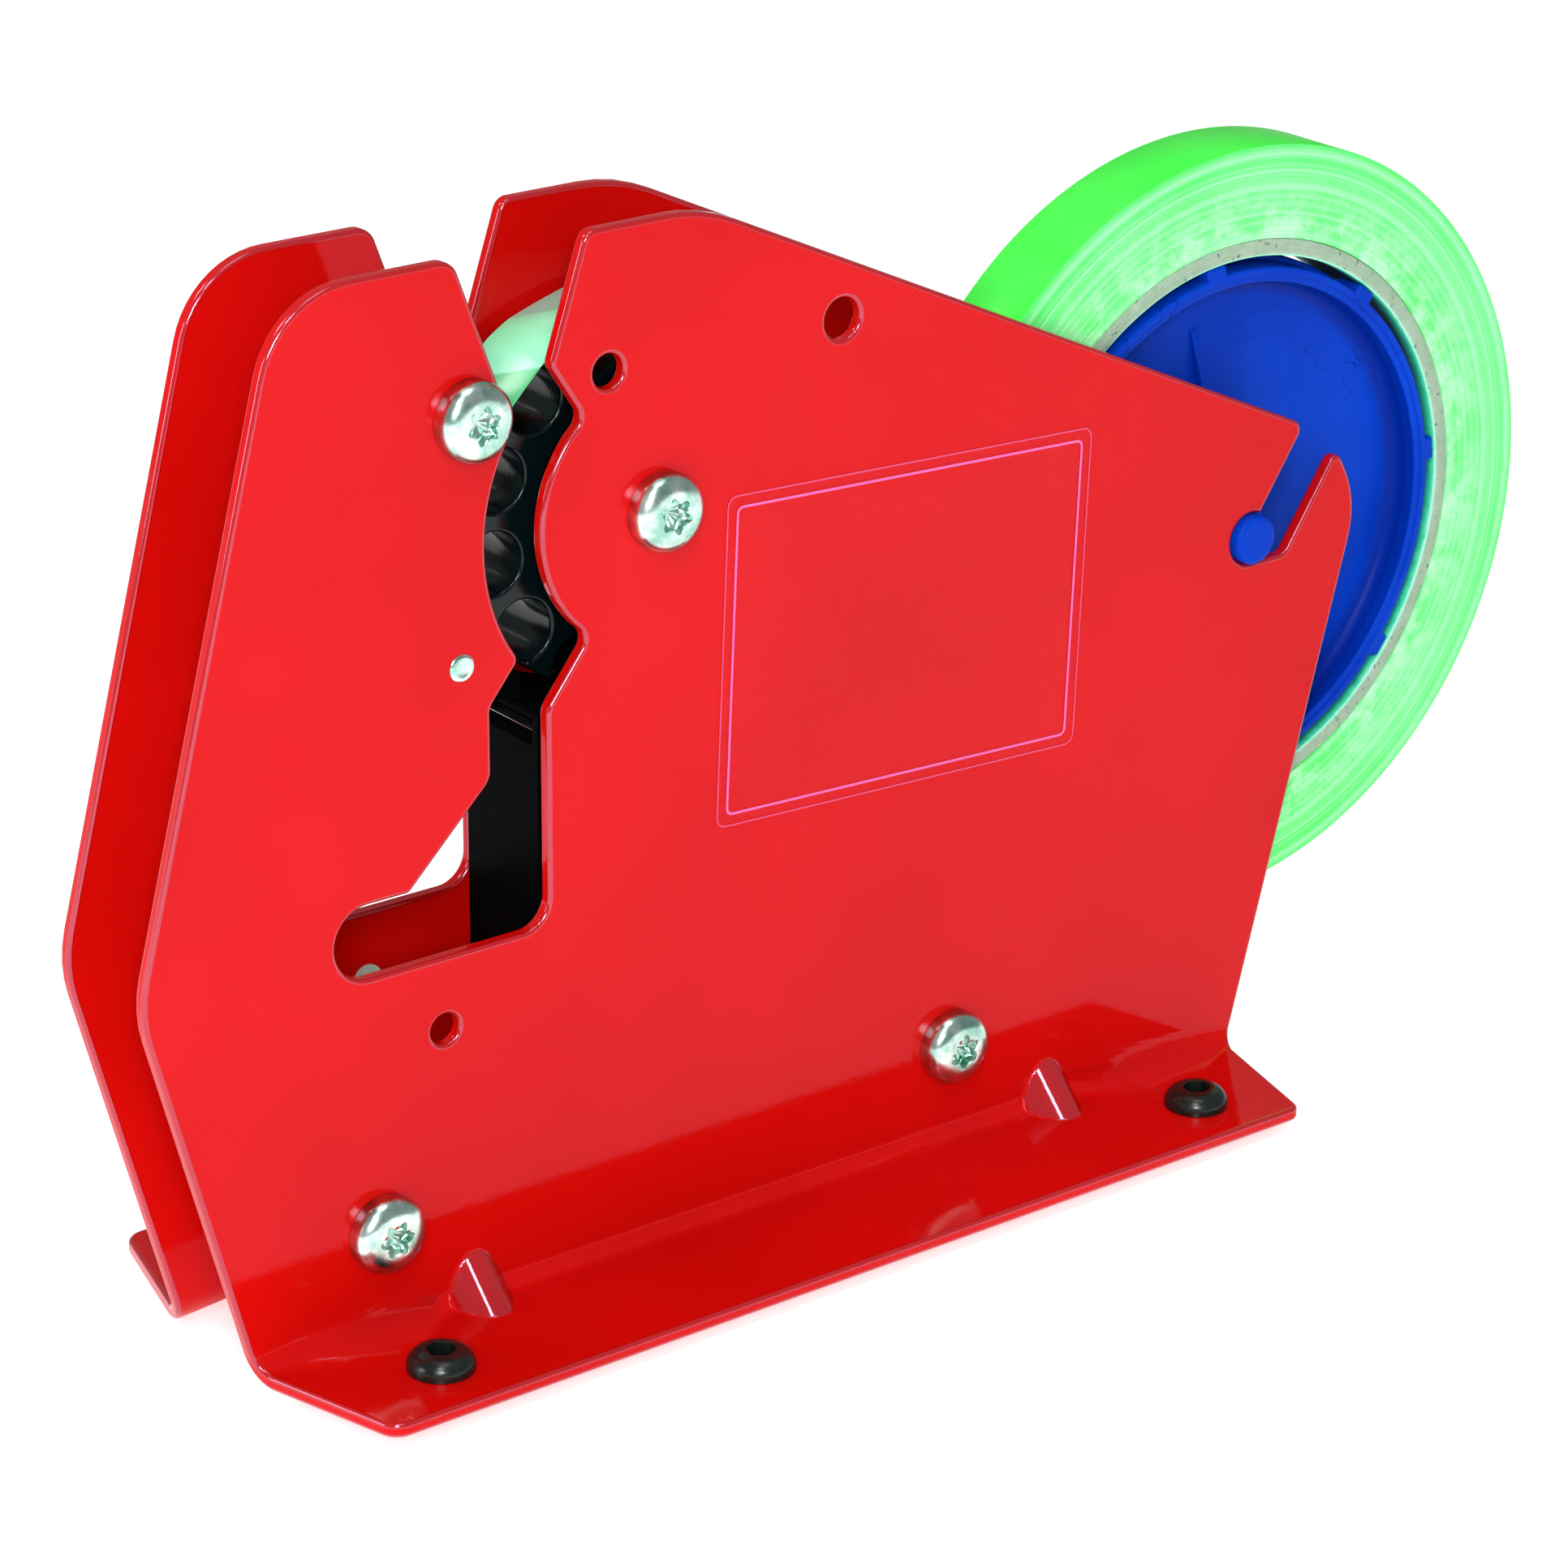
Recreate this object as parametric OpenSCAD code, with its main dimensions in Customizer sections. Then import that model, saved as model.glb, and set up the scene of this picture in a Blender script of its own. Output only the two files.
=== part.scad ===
// Bag neck sealer: two folded steel side plates hold a star wheel that wraps adhesive tape
// round the twisted neck of a bag as the neck is pulled down through the throat.
// Millimetres. +X to the reel, +Y to the far plate, +Z up; origin on the floor under the middle.

/* [Side plates] */
// Thickness of the sheet steel
sheet_t = 2; // [1.8:0.1:2.4]
// Clear gap between the two side plates
gap_w = 15.6; // [15.6:0.2:18]
// Height of the flat top above the flanges' underside
plate_h = 139.4; // [138:0.2:142]
// How far the front nose reaches ahead of the wheel axle
nose_reach = 76.9; // [75:0.1:80]
// Width of each foot flange, from the outer face of its plate
flange_w = 22.2; // [20:0.2:26]
// Inner radius of the flange bend
bend_r = 2.5; // [1.5:0.1:4]
// Lean of the flanges' end edges
flange_lean = 15; // [10:1:20]

/* [Throat] */
// Width of the curved channel that the bag neck is pulled through
channel_w = 8.1; // [7.6:0.1:8.4]
// Height of the put-away slot at the foot of the throat
slot_h = 9.8; // [9:0.2:10.6]
// Width of the slanted slot that the reel is lifted out of
axle_slot_w = 7.8; // [7.4:0.1:8.2]

/* [Star wheel] */
// Outer radius of the wheel
wheel_r = 25; // [24.6:0.1:25.2]
// Width of the wheel's rim
wheel_w = 12; // [11:0.2:12.4]
// Number of half-round pockets in the rim
pocket_n = 13; // [11:1:13]
// Radius of one pocket
pocket_r = 4.1; // [3.6:0.1:4.3]
// Chamfer round the mouth of each pocket
pocket_chamfer = 0.5; // [0.2:0.1:0.7]
// Thickness of the wheel's web
web_t = 3.4; // [2.6:0.2:5]

/* [Pressure arm] */
// Width of the arm
arm_w = 9.6; // [8.6:0.2:9.8]
// Diameter of the arm's pivot pin
arm_pin_d = 4; // [3.6:0.1:4.4]
// Wire diameter of the return spring
wire_d = 0.7; // [0.6:0.05:0.8]
// Number of turns of the return spring
spring_turns = 2.25; // [1.25:1:2.25]

/* [Blade] */
// Thickness of the cutting blade
blade_t = 0.6; // [0.4:0.1:0.8]
// Width of the cutting blade
blade_w = 13; // [12:0.5:14]

/* [Tape reel] */
// Bore of the card core
core_d = 76.2; // [75.8:0.1:76.6]
// Wall thickness of the card core
core_t = 3; // [2:0.2:4]
// Outer diameter of the tape roll
roll_d = 108.1; // [90:0.5:110]
// Width of the tape
tape_w = 12; // [9:0.5:12.5]
// Gap between the hub's rim ring and the card core
hub_gap = 2.1; // [1.6:0.1:3]
// Diameter of the hub's axle pins
hub_pin_d = 7; // [6.6:0.1:7]
// How far each axle pin stands out of its side plate
hub_pin_out = 1.2; // [0.6:0.1:3]
// Number of lugs that centre the core on the hub
lug_n = 8; // [6:1:10]

/* [Screws and feet] */
// Head diameter of the side screws
side_head_d = 10; // [9:0.1:10.4]
// Head height of the side screws
side_head_h = 3.4; // [2.4:0.1:3.6]
// Head diameter of the foot screws
foot_head_d = 8.8; // [8.4:0.1:10]
// Head height of the foot screws
foot_head_h = 2.75; // [2.2:0.05:3]
// Diameter of the spacers between the plates
spacer_d = 10; // [9:0.2:11]
// Diameter of a rubber foot
foot_d = 11; // [10.5:0.1:13]
// Height of a rubber foot
foot_h = 2.4; // [2.4:0.1:5]

/* [Hidden] */

$fn = 64;
eps = 0.01;
big = 400;

// Clearances
run_clear = 0.05;     // a pin in its bore, on the radius
side_clear = 0.2;     // a turning piece beside a plate
free_gap = 0.3;       // between moving pieces that do not touch
screw_clear = 0.15;   // a screw shank in a plate hole, on the radius

// Where the axes lie: [x, height above the flanges' underside]
wheel_at = [-39, 102.3];
reel_at = [61.4, 77.6];
arm_at = wheel_at + [-30, -14.3];
lock_pin_at = [-72.4, 41.2];
screw_at = [wheel_at + [-28.4, 17.1], wheel_at, [-82.3, 15.6], [9.5, 15.8]];
feet_x = [-82.6, 43.4];
foot_inset = 9.2;     // foot screws in from the flanges' outer edges

// Spare holes of the side plates: [x, height, diameter]
spare_holes = [
    [wheel_at[0] - 7.8, wheel_at[1] + 19.2, 4.4],
    [wheel_at[0] + 28.4, wheel_at[1] + 19.4, 5.5]
];
lock_hole_at = [-72.3, 40.6];
lock_hole_d = 4.1;

// Planes across the part
inner_y = gap_w / 2;
outer_y = inner_y + sheet_t;
flange_y = outer_y + flange_w;

// ---------- outlines ----------

// Points of a round stretch: centre c, radius r, from angle a to angle b
function arc(c, r, a, b, step = 6) =
    let (n = max(2, ceil(abs(b - a) / step)))
    [for (i = [0:n]) let (t = a + (b - a) * i / n) c + r * [cos(t), sin(t)]];

// Points of the corner at q between neighbours p and s, rounded to radius r
function corner(p, q, s, r) =
    let (
        u = (p - q) / norm(p - q),
        w = (s - q) / norm(s - q),
        half = acos(max(-1, min(1, u * w))) / 2,
        c = q + (u + w) / norm(u + w) * r / sin(half),
        from_q = q + u * r / tan(half) - c,
        to_q = q + w * r / tan(half) - c,
        a = atan2(from_q[1], from_q[0]),
        turn = atan2(to_q[1], to_q[0]) - a,
        b = a + (turn > 180 ? turn - 360 : turn < -180 ? turn + 360 : turn)
    )
    arc(c, r, a, b, 15);

// A closed outline from corners [x, z, radius]
function rounded(v) = [
    for (i = [0:len(v) - 1])
        let (
            p = v[(i + len(v) - 1) % len(v)],
            q = v[i],
            s = v[(i + 1) % len(v)]
        )
        each (q[2] > 0
            ? corner([p[0], p[1]], [q[0], q[1]], [s[0], s[1]], q[2])
            : [[q[0], q[1]]])
];

// Corners of the same radius 0 from a list of plain points
function sharp(points) = [for (p = points) [p[0], p[1], 0]];

// ---------- side plates ----------

// Channel walls, concentric with the wheel
rear_r = wheel_r - 6.9;
front_r = rear_r + channel_w;
front_from = 146;     // angles round the wheel axle
front_to = 215;
rear_from = 232.8;
rear_to = 129.4;
wall_front_x = wheel_at[0] - 25.8;
wall_rear_x = wheel_at[0] - 17.4;
slot_top = 60.3;
slot_front_x = -88.1;
nose_x = wheel_at[0] - nose_reach;
axle_slot_dir = 56.2; // slope of the reel's slot
pocket_d = hub_pin_d + 0.3;
lip_in = 0.56;        // the slot's front wall lies this far past the reel's axis
horn_foot = reel_at + (axle_slot_w - lip_in) * [sin(axle_slot_dir), -cos(axle_slot_dir)];

// A point on the reel slot's rear wall, t up the slope
function horn_wall(t) = horn_foot + t * [cos(axle_slot_dir), sin(axle_slot_dir)];

// Outline of one side plate, from the nose up and round by the throat and the reel's slot
function plate_outline() = rounded(concat(
    [
        [nose_x, 54.3, 17],
        [nose_x + 22.1 + (plate_h - 139.4) * 0.26, plate_h, 13],
        [-69.2, plate_h, 3]
    ],
    // front wall of the throat
    [for (p = [arc(wheel_at, front_r, front_from, front_to)]) [p[0][0], p[0][1], 1.8]],
    sharp([for (p = arc(wheel_at, front_r, front_from + 6, front_to - 6)) p]),
    [
        [wheel_at[0] - 21.4, wheel_at[1] - 15.1, 1.5],
        [wall_front_x, wheel_at[1] - 20.5, 2],
        [wall_front_x, slot_top + 12.1, 3],
        [wall_front_x - 12.4, slot_top, 1],
        [slot_front_x, slot_top, slot_h / 2 - eps],
        [slot_front_x, slot_top - slot_h, slot_h / 2 - eps],
        [wall_rear_x, slot_top - slot_h, 4],
        [wall_rear_x, wheel_at[1] - 22.7, 3]
    ],
    // rear wall of the throat
    [for (p = [arc(wheel_at, rear_r, rear_from, rear_to)]) [p[0][0], p[0][1], 2]],
    sharp([for (p = arc(wheel_at, rear_r, rear_from - 10, rear_to + 10)) p]),
    [for (p = [arc(wheel_at, rear_r, rear_to, rear_from)]) [p[0][0], p[0][1], 2]],
    [
        [wheel_at[0] - 16.4, wheel_at[1] + 21.4, 1.5],
        [wheel_at[0] - 11, plate_h + 0.3, 2],
        [wheel_at[0] + 6.6, plate_h + 0.3, 25],
        [reel_at[0] + 9.2, reel_at[1] + 14.7, 1.6]
    ],
    // pocket that the hub pin rests in, under its hook
    sharp(arc(reel_at, pocket_d / 2, axle_slot_dir + asin(2 * lip_in / pocket_d), 285)),
    [
        [horn_wall(0.6)[0], horn_wall(0.6)[1], 1.6],
        [horn_wall(17)[0], horn_wall(17)[1], 1.3],
        [reel_at[0] + 20.2, reel_at[1] + 1.8, 14],
        [reel_at[0] - 0.8, 0, 0],
        [nose_x + 14.8, 0, 0]
    ]
));

// Cross-section of the folded sheet: x is outward from the plate's inner face, y is up
module fold_section(height) {
    translate([0, bend_r + sheet_t])
        square([sheet_t, height]);
    translate([sheet_t + bend_r, 0])
        square([flange_w - bend_r, sheet_t]);
    translate([sheet_t + bend_r, sheet_t + bend_r])
        intersection() {
            difference() {
                circle(r = bend_r + sheet_t);
                circle(r = bend_r);
            }
            translate([-big, -big])
                square(big);
        }
}

// The flange seen from above: its ends lean in and its outer corners are rounded
module flange_plan() {
    lean = flange_w * tan(flange_lean);
    polygon(rounded([
        [nose_x - 40, inner_y - 1, 0],
        [reel_at[0] + 60, inner_y - 1, 0],
        [reel_at[0] + 60, outer_y, 0],
        [reel_at[0] - 0.8, outer_y, 0],
        [reel_at[0] - 0.8 - lean, flange_y, 2],
        [nose_x + 14.4 + lean, flange_y, 3],
        [nose_x + 14.4, outer_y, 0],
        [nose_x - 40, outer_y, 0]
    ]));
}

dart_x = [-68.6, 26.9];
dart_crest = 4.6;     // height of the ridge over the fold's corner
dart_w = 8.6;
dart_top = 1.2;       // width of its flat crest
dart_shoulder = 1.1;  // where its flanks end, over the fold's corner
dart_len = 30;

// One 45 degree stiffening dart pressed into the fold, with bulging flanks; drop sinks it
module dart(x, w, drop) {
    flank = [for (u = [0:0.2:1])
        [dart_top / 2 + (w - dart_top) / 2 * u,
         dart_crest - (dart_crest - dart_shoulder) * pow(u, 1.8) - drop]];
    translate([x, outer_y, sheet_t])
        rotate([45, 0, 0])
            linear_extrude(dart_len, center = true)
                polygon(concat(
                    [[w / 2, -dart_len], [-w / 2, -dart_len]],
                    [for (i = [len(flank) - 1:-1:0]) [-flank[i][0], flank[i][1]]],
                    flank
                ));
}

// One side plate on the +Y side, standing on its flange
module side_plate(pin_hole) {
    difference() {
        union() {
            intersection() {
                translate([0, big / 2, 0])
                    rotate([90, 0, 0])
                        linear_extrude(big)
                            polygon(plate_outline());
                translate([-big / 2, inner_y, 0])
                    rotate([90, 0, 90])
                        linear_extrude(big)
                            fold_section(plate_h + 10);
                linear_extrude(big)
                    flange_plan();
            }
            intersection() {
                union() {
                    for (x = dart_x)
                        dart(x, dart_w, 0);
                }
                translate([-big / 2, inner_y + sheet_t / 2, sheet_t / 2])
                    cube([big, 10, 12]);
            }
        }
        for (x = dart_x)
            dart(x, dart_w - 2, 1.4 * sheet_t);
        for (p = screw_at)
            side_hole(p, screw_d / 2 + screw_clear);
        for (h = spare_holes)
            side_hole([h[0], h[1]], h[2] / 2);
        side_hole(arm_at, arm_pin_d / 2);
        side_hole(pin_hole, lock_hole_d / 2);
        for (x = feet_x)
            translate([x, flange_y - foot_inset, -1])
                cylinder(r = screw_d / 2 + screw_clear, h = sheet_t + 2);
    }
}

// Move a child so that it grows outward from the plane y = from, at p
module on_side(p, from) {
    translate([p[0], from, p[1]])
        rotate([-90, 0, 0])
            children();
}

// A hole through one side plate
module side_hole(p, r) {
    on_side(p, inner_y - 1)
        cylinder(r = r, h = sheet_t + 2);
}

// Everything stands on the rubber feet
module raised() {
    translate([0, 0, foot_h])
        children();
}

module side_plate_near() {
    color("red")
        raised()
            mirror([0, 1, 0])
                side_plate(lock_hole_at);
}

module side_plate_far() {
    color("red")
        raised()
            difference() {
                side_plate(lock_pin_at);
                for (p = blade_screw_at)
                    side_hole(p, blade_screw_d / 2 + screw_clear);
            }
}

// ---------- screws, spacers and feet ----------

screw_d = 5;
screw_reach = 6;      // of a side screw into its spacer
thread_clear = 0.02;

// A domed head that rises from z = 0, with a plain round recess
module dome_head(d, h, recess_d) {
    flat_r = d * 0.3;
    difference() {
        rotate_extrude()
            polygon(concat(
                [[0, 0], [d / 2, 0], [d / 2, h * 0.25]],
                [for (t = [15:15:90])
                    [flat_r + (d / 2 - flat_r) * cos(t), h * 0.25 + h * 0.75 * sin(t)]],
                [[0, h]]
            ));
        translate([0, 0, h - 1.6])
            cylinder(d = recess_d, h = 2);
    }
}

// The four screws of one side, heads outward
module side_screws() {
    for (p = screw_at)
        on_side(p, outer_y) {
            dome_head(side_head_d, side_head_h, 3.9);
            translate([0, 0, -sheet_t - screw_reach])
                cylinder(r = screw_d / 2 - thread_clear, h = sheet_t + screw_reach + eps);
        }
}

module side_screws_near() {
    color("silver")
        raised()
            mirror([0, 1, 0])
                side_screws();
}

module side_screws_far() {
    color("silver")
        raised()
            side_screws();
}

// A round bar across the gap, bored through for its two screws
module spacer(p, d) {
    on_side(p, -inner_y)
        difference() {
            cylinder(d = d, h = gap_w);
            translate([0, 0, -1])
                cylinder(d = screw_d, h = gap_w + 2);
        }
}

module spacer_top_front() {
    color("silver")
        raised()
            spacer(screw_at[0], spacer_d);
}

module spacer_bottom_front() {
    color("silver")
        raised()
            spacer(screw_at[2], spacer_d);
}

module spacer_bottom_rear() {
    color("silver")
        raised()
            spacer(screw_at[3], spacer_d);
}

wheel_axle_d = 8;

module wheel_axle() {
    color("silver")
        raised()
            spacer(wheel_at, wheel_axle_d);
}

foot_screw_reach = 2; // below the flange

// Places the children at the four foot screws, on the flanges' underside
module at_feet() {
    for (x = feet_x, s = [-1, 1])
        translate([x, s * (flange_y - foot_inset), foot_h])
            children();
}

module foot_screws() {
    color("black")
        at_feet() {
            translate([0, 0, sheet_t])
                dome_head(foot_head_d, foot_head_h, 4);
            translate([0, 0, -foot_screw_reach])
                cylinder(r = screw_d / 2 - thread_clear, h = sheet_t + foot_screw_reach + eps);
        }
}

module rubber_feet() {
    color("dimgray")
        at_feet()
            difference() {
                union() {
                    translate([0, 0, -foot_h])
                        cylinder(d1 = foot_d - 1, d2 = foot_d, h = 0.5);
                    translate([0, 0, 0.5 - foot_h])
                        cylinder(d = foot_d, h = foot_h - 0.5);
                }
                translate([0, 0, -foot_screw_reach])
                    cylinder(d = screw_d, h = foot_screw_reach + 1);
            }
}

// ---------- star wheel ----------

wheel_shift = 1;      // rim's middle towards the far plate
pocket_at = wheel_r - 2.8;
pocket_start = 135;   // angle of the first pocket
wheel_rim_in = 15.4;  // inner radius of the rim
wheel_hub_d = 15;
spoke_hole_r = 1.9;
spoke_holes = 6;

module star_wheel() {
    hub_from = -inner_y + side_clear;
    rim_from = wheel_shift - wheel_w / 2;
    color("#1a1c1e")
        raised()
            on_side(wheel_at, 0)
                mirror([0, 1, 0])
                    difference() {
                        union() {
                            translate([0, 0, rim_from])
                                cylinder(r = wheel_r, h = wheel_w);
                            translate([0, 0, hub_from])
                                cylinder(d = wheel_hub_d, h = gap_w - 2 * side_clear);
                        }
                        // dished sides leave a thin web between hub and rim
                        for (s = [-1, 1])
                            translate([0, 0, wheel_shift + s * (web_t + wheel_w) / 2])
                                difference() {
                                    cylinder(r = wheel_rim_in, h = wheel_w, center = true);
                                    cylinder(d = wheel_hub_d, h = wheel_w + 2, center = true);
                                }
                        for (i = [0:spoke_holes - 1])
                            rotate([0, 0, i * 360 / spoke_holes])
                                translate([(wheel_rim_in + wheel_hub_d / 2) / 2, 0, -wheel_w])
                                    cylinder(r = spoke_hole_r, h = 2 * wheel_w);
                        for (i = [0:pocket_n - 1])
                            rotate([0, 0, pocket_start + i * 360 / pocket_n])
                                translate([pocket_at, 0, wheel_shift])
                                    pocket_cutter();
                        translate([0, 0, -gap_w])
                            cylinder(r = wheel_axle_d / 2 + run_clear, h = 2 * gap_w);
                    }
}

// One pocket with a chamfer at each side of the rim
module pocket_cutter() {
    cylinder(r = pocket_r, h = wheel_w + 2, center = true);
    for (s = [0, 1])
        mirror([0, 0, s])
            translate([0, 0, wheel_w / 2 - pocket_chamfer])
                cylinder(r1 = pocket_r, r2 = pocket_r + 2 * pocket_chamfer, h = 2 * pocket_chamfer);
}

// ---------- pressure arm, its pin and its spring ----------

arm_boss_r = 4.6;
arm_tip_x = wall_rear_x - free_gap - 0.2;
arm_gap = 0.9;        // arm below the tape on the wheel
arm_from = -arm_w / 2;
spring_space = 3.9;   // along the pin, beside the far plate

// The arm's side view: a boss on the pin and a foot that closes the throat
module arm_profile() {
    difference() {
        union() {
            translate(arm_at)
                circle(r = arm_boss_r);
            polygon([
                arm_at + [-0.6, -4.56],
                arm_at + [1, 4.49],
                [arm_at[0] + 7.4, arm_at[1] + 3],
                [arm_tip_x, arm_at[1] + 3],
                [arm_tip_x, wheel_at[1] - 22.5],
                [wall_front_x + 2, wheel_at[1] - 21.5]
            ]);
        }
        translate(wheel_at)
            circle(r = wheel_r + free_gap + tape_t + arm_gap, $fn = 128);
        translate(arm_at)
            circle(r = arm_pin_d / 2 + run_clear);
    }
}

module pressure_arm() {
    boss_from = -inner_y + side_clear;
    color("#202224")
        raised() {
            translate([0, inner_y - spring_space, 0])
                rotate([90, 0, 0])
                    linear_extrude(inner_y - spring_space - arm_from)
                        arm_profile();
            on_side(arm_at, boss_from)
                difference() {
                    cylinder(r = arm_boss_r - 0.6, h = arm_from - boss_from + eps);
                    translate([0, 0, -1])
                        cylinder(r = arm_pin_d / 2 + run_clear, h = gap_w);
                }
            // peg that rests on the spring's short leg
            on_side(arm_at + [leg_out - 1.4, peg_r + run_clear - coil_r + wire_d / 2],
                    inner_y - spring_space - eps)
                cylinder(r = peg_r, h = spring_space - side_clear - 0.4);
        }
}

module arm_pivot_pin() {
    color("silver")
        raised()
            on_side(arm_at, -outer_y - pin_proud)
                cylinder(d = arm_pin_d, h = 2 * (outer_y + pin_proud));
}

pin_proud = 0.3;      // riveted ends beyond the plates
coil_r = arm_pin_d / 2 + 1.1;
peg_r = 1.1;
coil_steps = 16;      // per turn
wire_sides = 8;
leg_up = 31;          // rise of the leg that bears on the top front spacer
leg_x = screw_at[0][0] - arm_at[0] - spacer_d / 2 - wire_d / 2 - run_clear;
leg_out = 8.6;        // length of the leg under the arm's peg
coil_pitch = (spring_space - wire_d - 2 * side_clear) / spring_turns;

// Centre line of the spring: long leg, coils, short leg; about the pin, y towards the far plate
function spring_line() =
    let (
        n = round(coil_steps * spring_turns),
        y0 = inner_y - side_clear - wire_d / 2
    )
    concat(
        [[leg_x, y0, leg_up]],
        [for (i = [0:n])
            let (t = i / coil_steps)
            [-coil_r * cos(360 * t), y0 - coil_pitch * t, -coil_r * sin(360 * t)]],
        [[leg_out, y0 - coil_pitch * spring_turns, -coil_r]]
    );

// A round tube along a list of points
module tube(points, d, sides) {
    n = len(points);
    rings = [for (i = [0:n - 1])
        let (
            t = points[min(i + 1, n - 1)] - points[max(i - 1, 0)],
            u = t / norm(t),
            side = cross(u, [0, 1, 0.001]),
            s = side / norm(side),
            w = cross(s, u)
        )
        [for (k = [0:sides - 1])
            points[i] + d / 2 * (s * cos(360 * k / sides) + w * sin(360 * k / sides))]];
    polyhedron(
        points = [for (r = rings) each r],
        faces = concat(
            [[for (k = [0:sides - 1]) k]],
            [for (i = [0:n - 2], k = [0:sides - 1], h = [0, 1])
                let (
                    a = i * sides + k,
                    b = i * sides + (k + 1) % sides
                )
                h == 0 ? [a, a + sides, b] : [b, a + sides, b + sides]],
            [[for (k = [sides - 1:-1:0]) (n - 1) * sides + k]]
        )
    );
}

// Least distance between two turns of the coil, wire surface to wire surface
coil_line = spring_line();
coil_gap = min([
    for (i = [1:len(coil_line) - 2], j = [1:len(coil_line) - 2])
        if (j - i > coil_steps / 2) norm(coil_line[i] - coil_line[j])
]) - wire_d;
echo("least gap between the spring's turns", coil_gap);

module arm_spring() {
    color("silver")
        raised()
            translate([arm_at[0], 0, arm_at[1]])
                tube(spring_line(), wire_d, wire_sides);
}

// ---------- blade and its holder ----------

holder_front_x = wall_rear_x - 0.2;
holder_len = 20;
holder_low = 40;      // above the flanges' underside
holder_top = wheel_at[1] - 23.3;
blade_at_z = wheel_at[1] - 26.5;
blade_len = 15;
blade_back = 0.4;     // the edge lies this far inside the slot's mouth
blade_slope = 12;
blade_edge = 1.2;     // length of the ground edge
mouth_h = 2.4;
blade_screw_d = 4;
blade_screw_at = [[holder_front_x + 13.5, 67.5], [holder_front_x + 13.5, 47.5]];

module blade_holder() {
    color("#202224")
        raised()
            difference() {
                translate([0, inner_y, 0])
                    rotate([90, 0, 0])
                        linear_extrude(gap_w)
                            difference() {
                                polygon(rounded([
                                    [holder_front_x, holder_low, 1],
                                    [holder_front_x, holder_top, 1],
                                    [holder_front_x + holder_len, holder_top, 1],
                                    [holder_front_x + holder_len, holder_low, 1]
                                ]));
                                translate(wheel_at)
                                    circle(r = wheel_r + 1.4, $fn = 128);
                            }
                blade_place(0)
                    blade_solid(blade_t + 2 * run_clear, blade_w + 0.4, 0);
                // flared mouth in front of the edge
                translate([holder_front_x, 0, blade_at_z])
                    rotate([90, 0, 0])
                        linear_extrude(blade_w + 0.4, center = true)
                            polygon([[-1, -mouth_h], [-1, mouth_h], [2.2, 0.4], [2.2, -0.4]]);
                for (p = blade_screw_at)
                    on_side(p, inner_y - screw_reach - 1)
                        cylinder(d = blade_screw_d, h = screw_reach + 2);
            }
}

// Puts a flat piece, edge towards -X, at the blade's slope
module blade_place(back) {
    translate([holder_front_x + blade_back + back, 0, blade_at_z])
        rotate([0, blade_slope, 0])
            children();
}

// Flat blade with an edge ground on both sides
module blade_solid(t, w, grind) {
    rotate([90, 0, 0])
        linear_extrude(w, center = true)
            polygon(grind > 0
                ? [[0, 0.03], [grind, t / 2], [blade_len, t / 2],
                   [blade_len, -t / 2], [grind, -t / 2], [0, -0.03]]
                : [[0, t / 2], [blade_len, t / 2], [blade_len, -t / 2], [0, -t / 2]]);
}

module blade() {
    color("gainsboro")
        raised()
            blade_place(0)
                blade_solid(blade_t, blade_w, blade_edge);
}

module blade_screws() {
    color("silver")
        raised()
            for (p = blade_screw_at)
                on_side(p, outer_y) {
                    dome_head(blade_screw_d * 1.9, blade_screw_d * 0.55, blade_screw_d * 0.75);
                    translate([0, 0, -sheet_t - screw_reach])
                        cylinder(
                            r = blade_screw_d / 2 - thread_clear,
                            h = sheet_t + screw_reach + eps
                        );
                }
}

// ---------- locating pin in the far plate ----------

module locating_pin() {
    color("silver")
        raised()
            on_side(lock_pin_at, inner_y - pin_proud)
                cylinder(r = lock_hole_d / 2 - thread_clear, h = sheet_t + 2 * pin_proud);
}

// ---------- tape reel ----------

core_r = core_d / 2;
hub_r = core_r - hub_gap;
rim_t = 1.2;
hub_web_t = 1.2;      // of each hub half
lug_start = 7;        // angle of the first lug
lug_w = 3.4;
lug_len = 5;
lug_gap = 0.1;
rib_t = 1.2;
rib_reach = 29;
rib_h = 4.6;
rib_angle = 99;
hub_boss_d = 9.6;

// One hub half, grown from the middle plane (z = 0) outward
module hub_half() {
    depth = tape_w / 2 - 0.1;
    cylinder(r = core_r - 2 * lug_gap, h = hub_web_t);
    difference() {
        cylinder(r = hub_r, h = depth);
        translate([0, 0, -1])
            cylinder(r = hub_r - rim_t, h = depth + 2);
    }
    cylinder(d = hub_pin_d, h = outer_y + hub_pin_out);
    cylinder(d = hub_boss_d, h = inner_y - side_clear - 0.4);
    for (i = [0:lug_n - 1])
        rotate([0, 0, lug_start + i * 360 / lug_n])
            intersection() {
                translate([hub_r - rim_t / 2, -lug_w / 2, depth - lug_len])
                    cube([hub_gap + rim_t, lug_w, lug_len]);
                cylinder(r = core_r - lug_gap, h = depth);
            }
    for (a = [rib_angle, rib_angle + 180])
        rotate([0, 0, a])
            rotate([90, 0, 0])
                translate([0, 0, -rib_t / 2])
                    linear_extrude(rib_t)
                        polygon([
                            [1, 0], [rib_reach, 0], [rib_reach, hub_web_t],
                            [hub_boss_d / 2, hub_web_t + rib_h], [1, hub_web_t + rib_h]
                        ]);
}

module reel_hub_near() {
    color("royalblue")
        raised()
            translate([reel_at[0], 0, reel_at[1]])
                rotate([90, 0, 0])
                    hub_half();
}

module reel_hub_far() {
    color("royalblue")
        raised()
            translate([reel_at[0], 0, reel_at[1]])
                mirror([0, 1, 0])
                    rotate([90, 0, 0])
                        hub_half();
}

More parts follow.
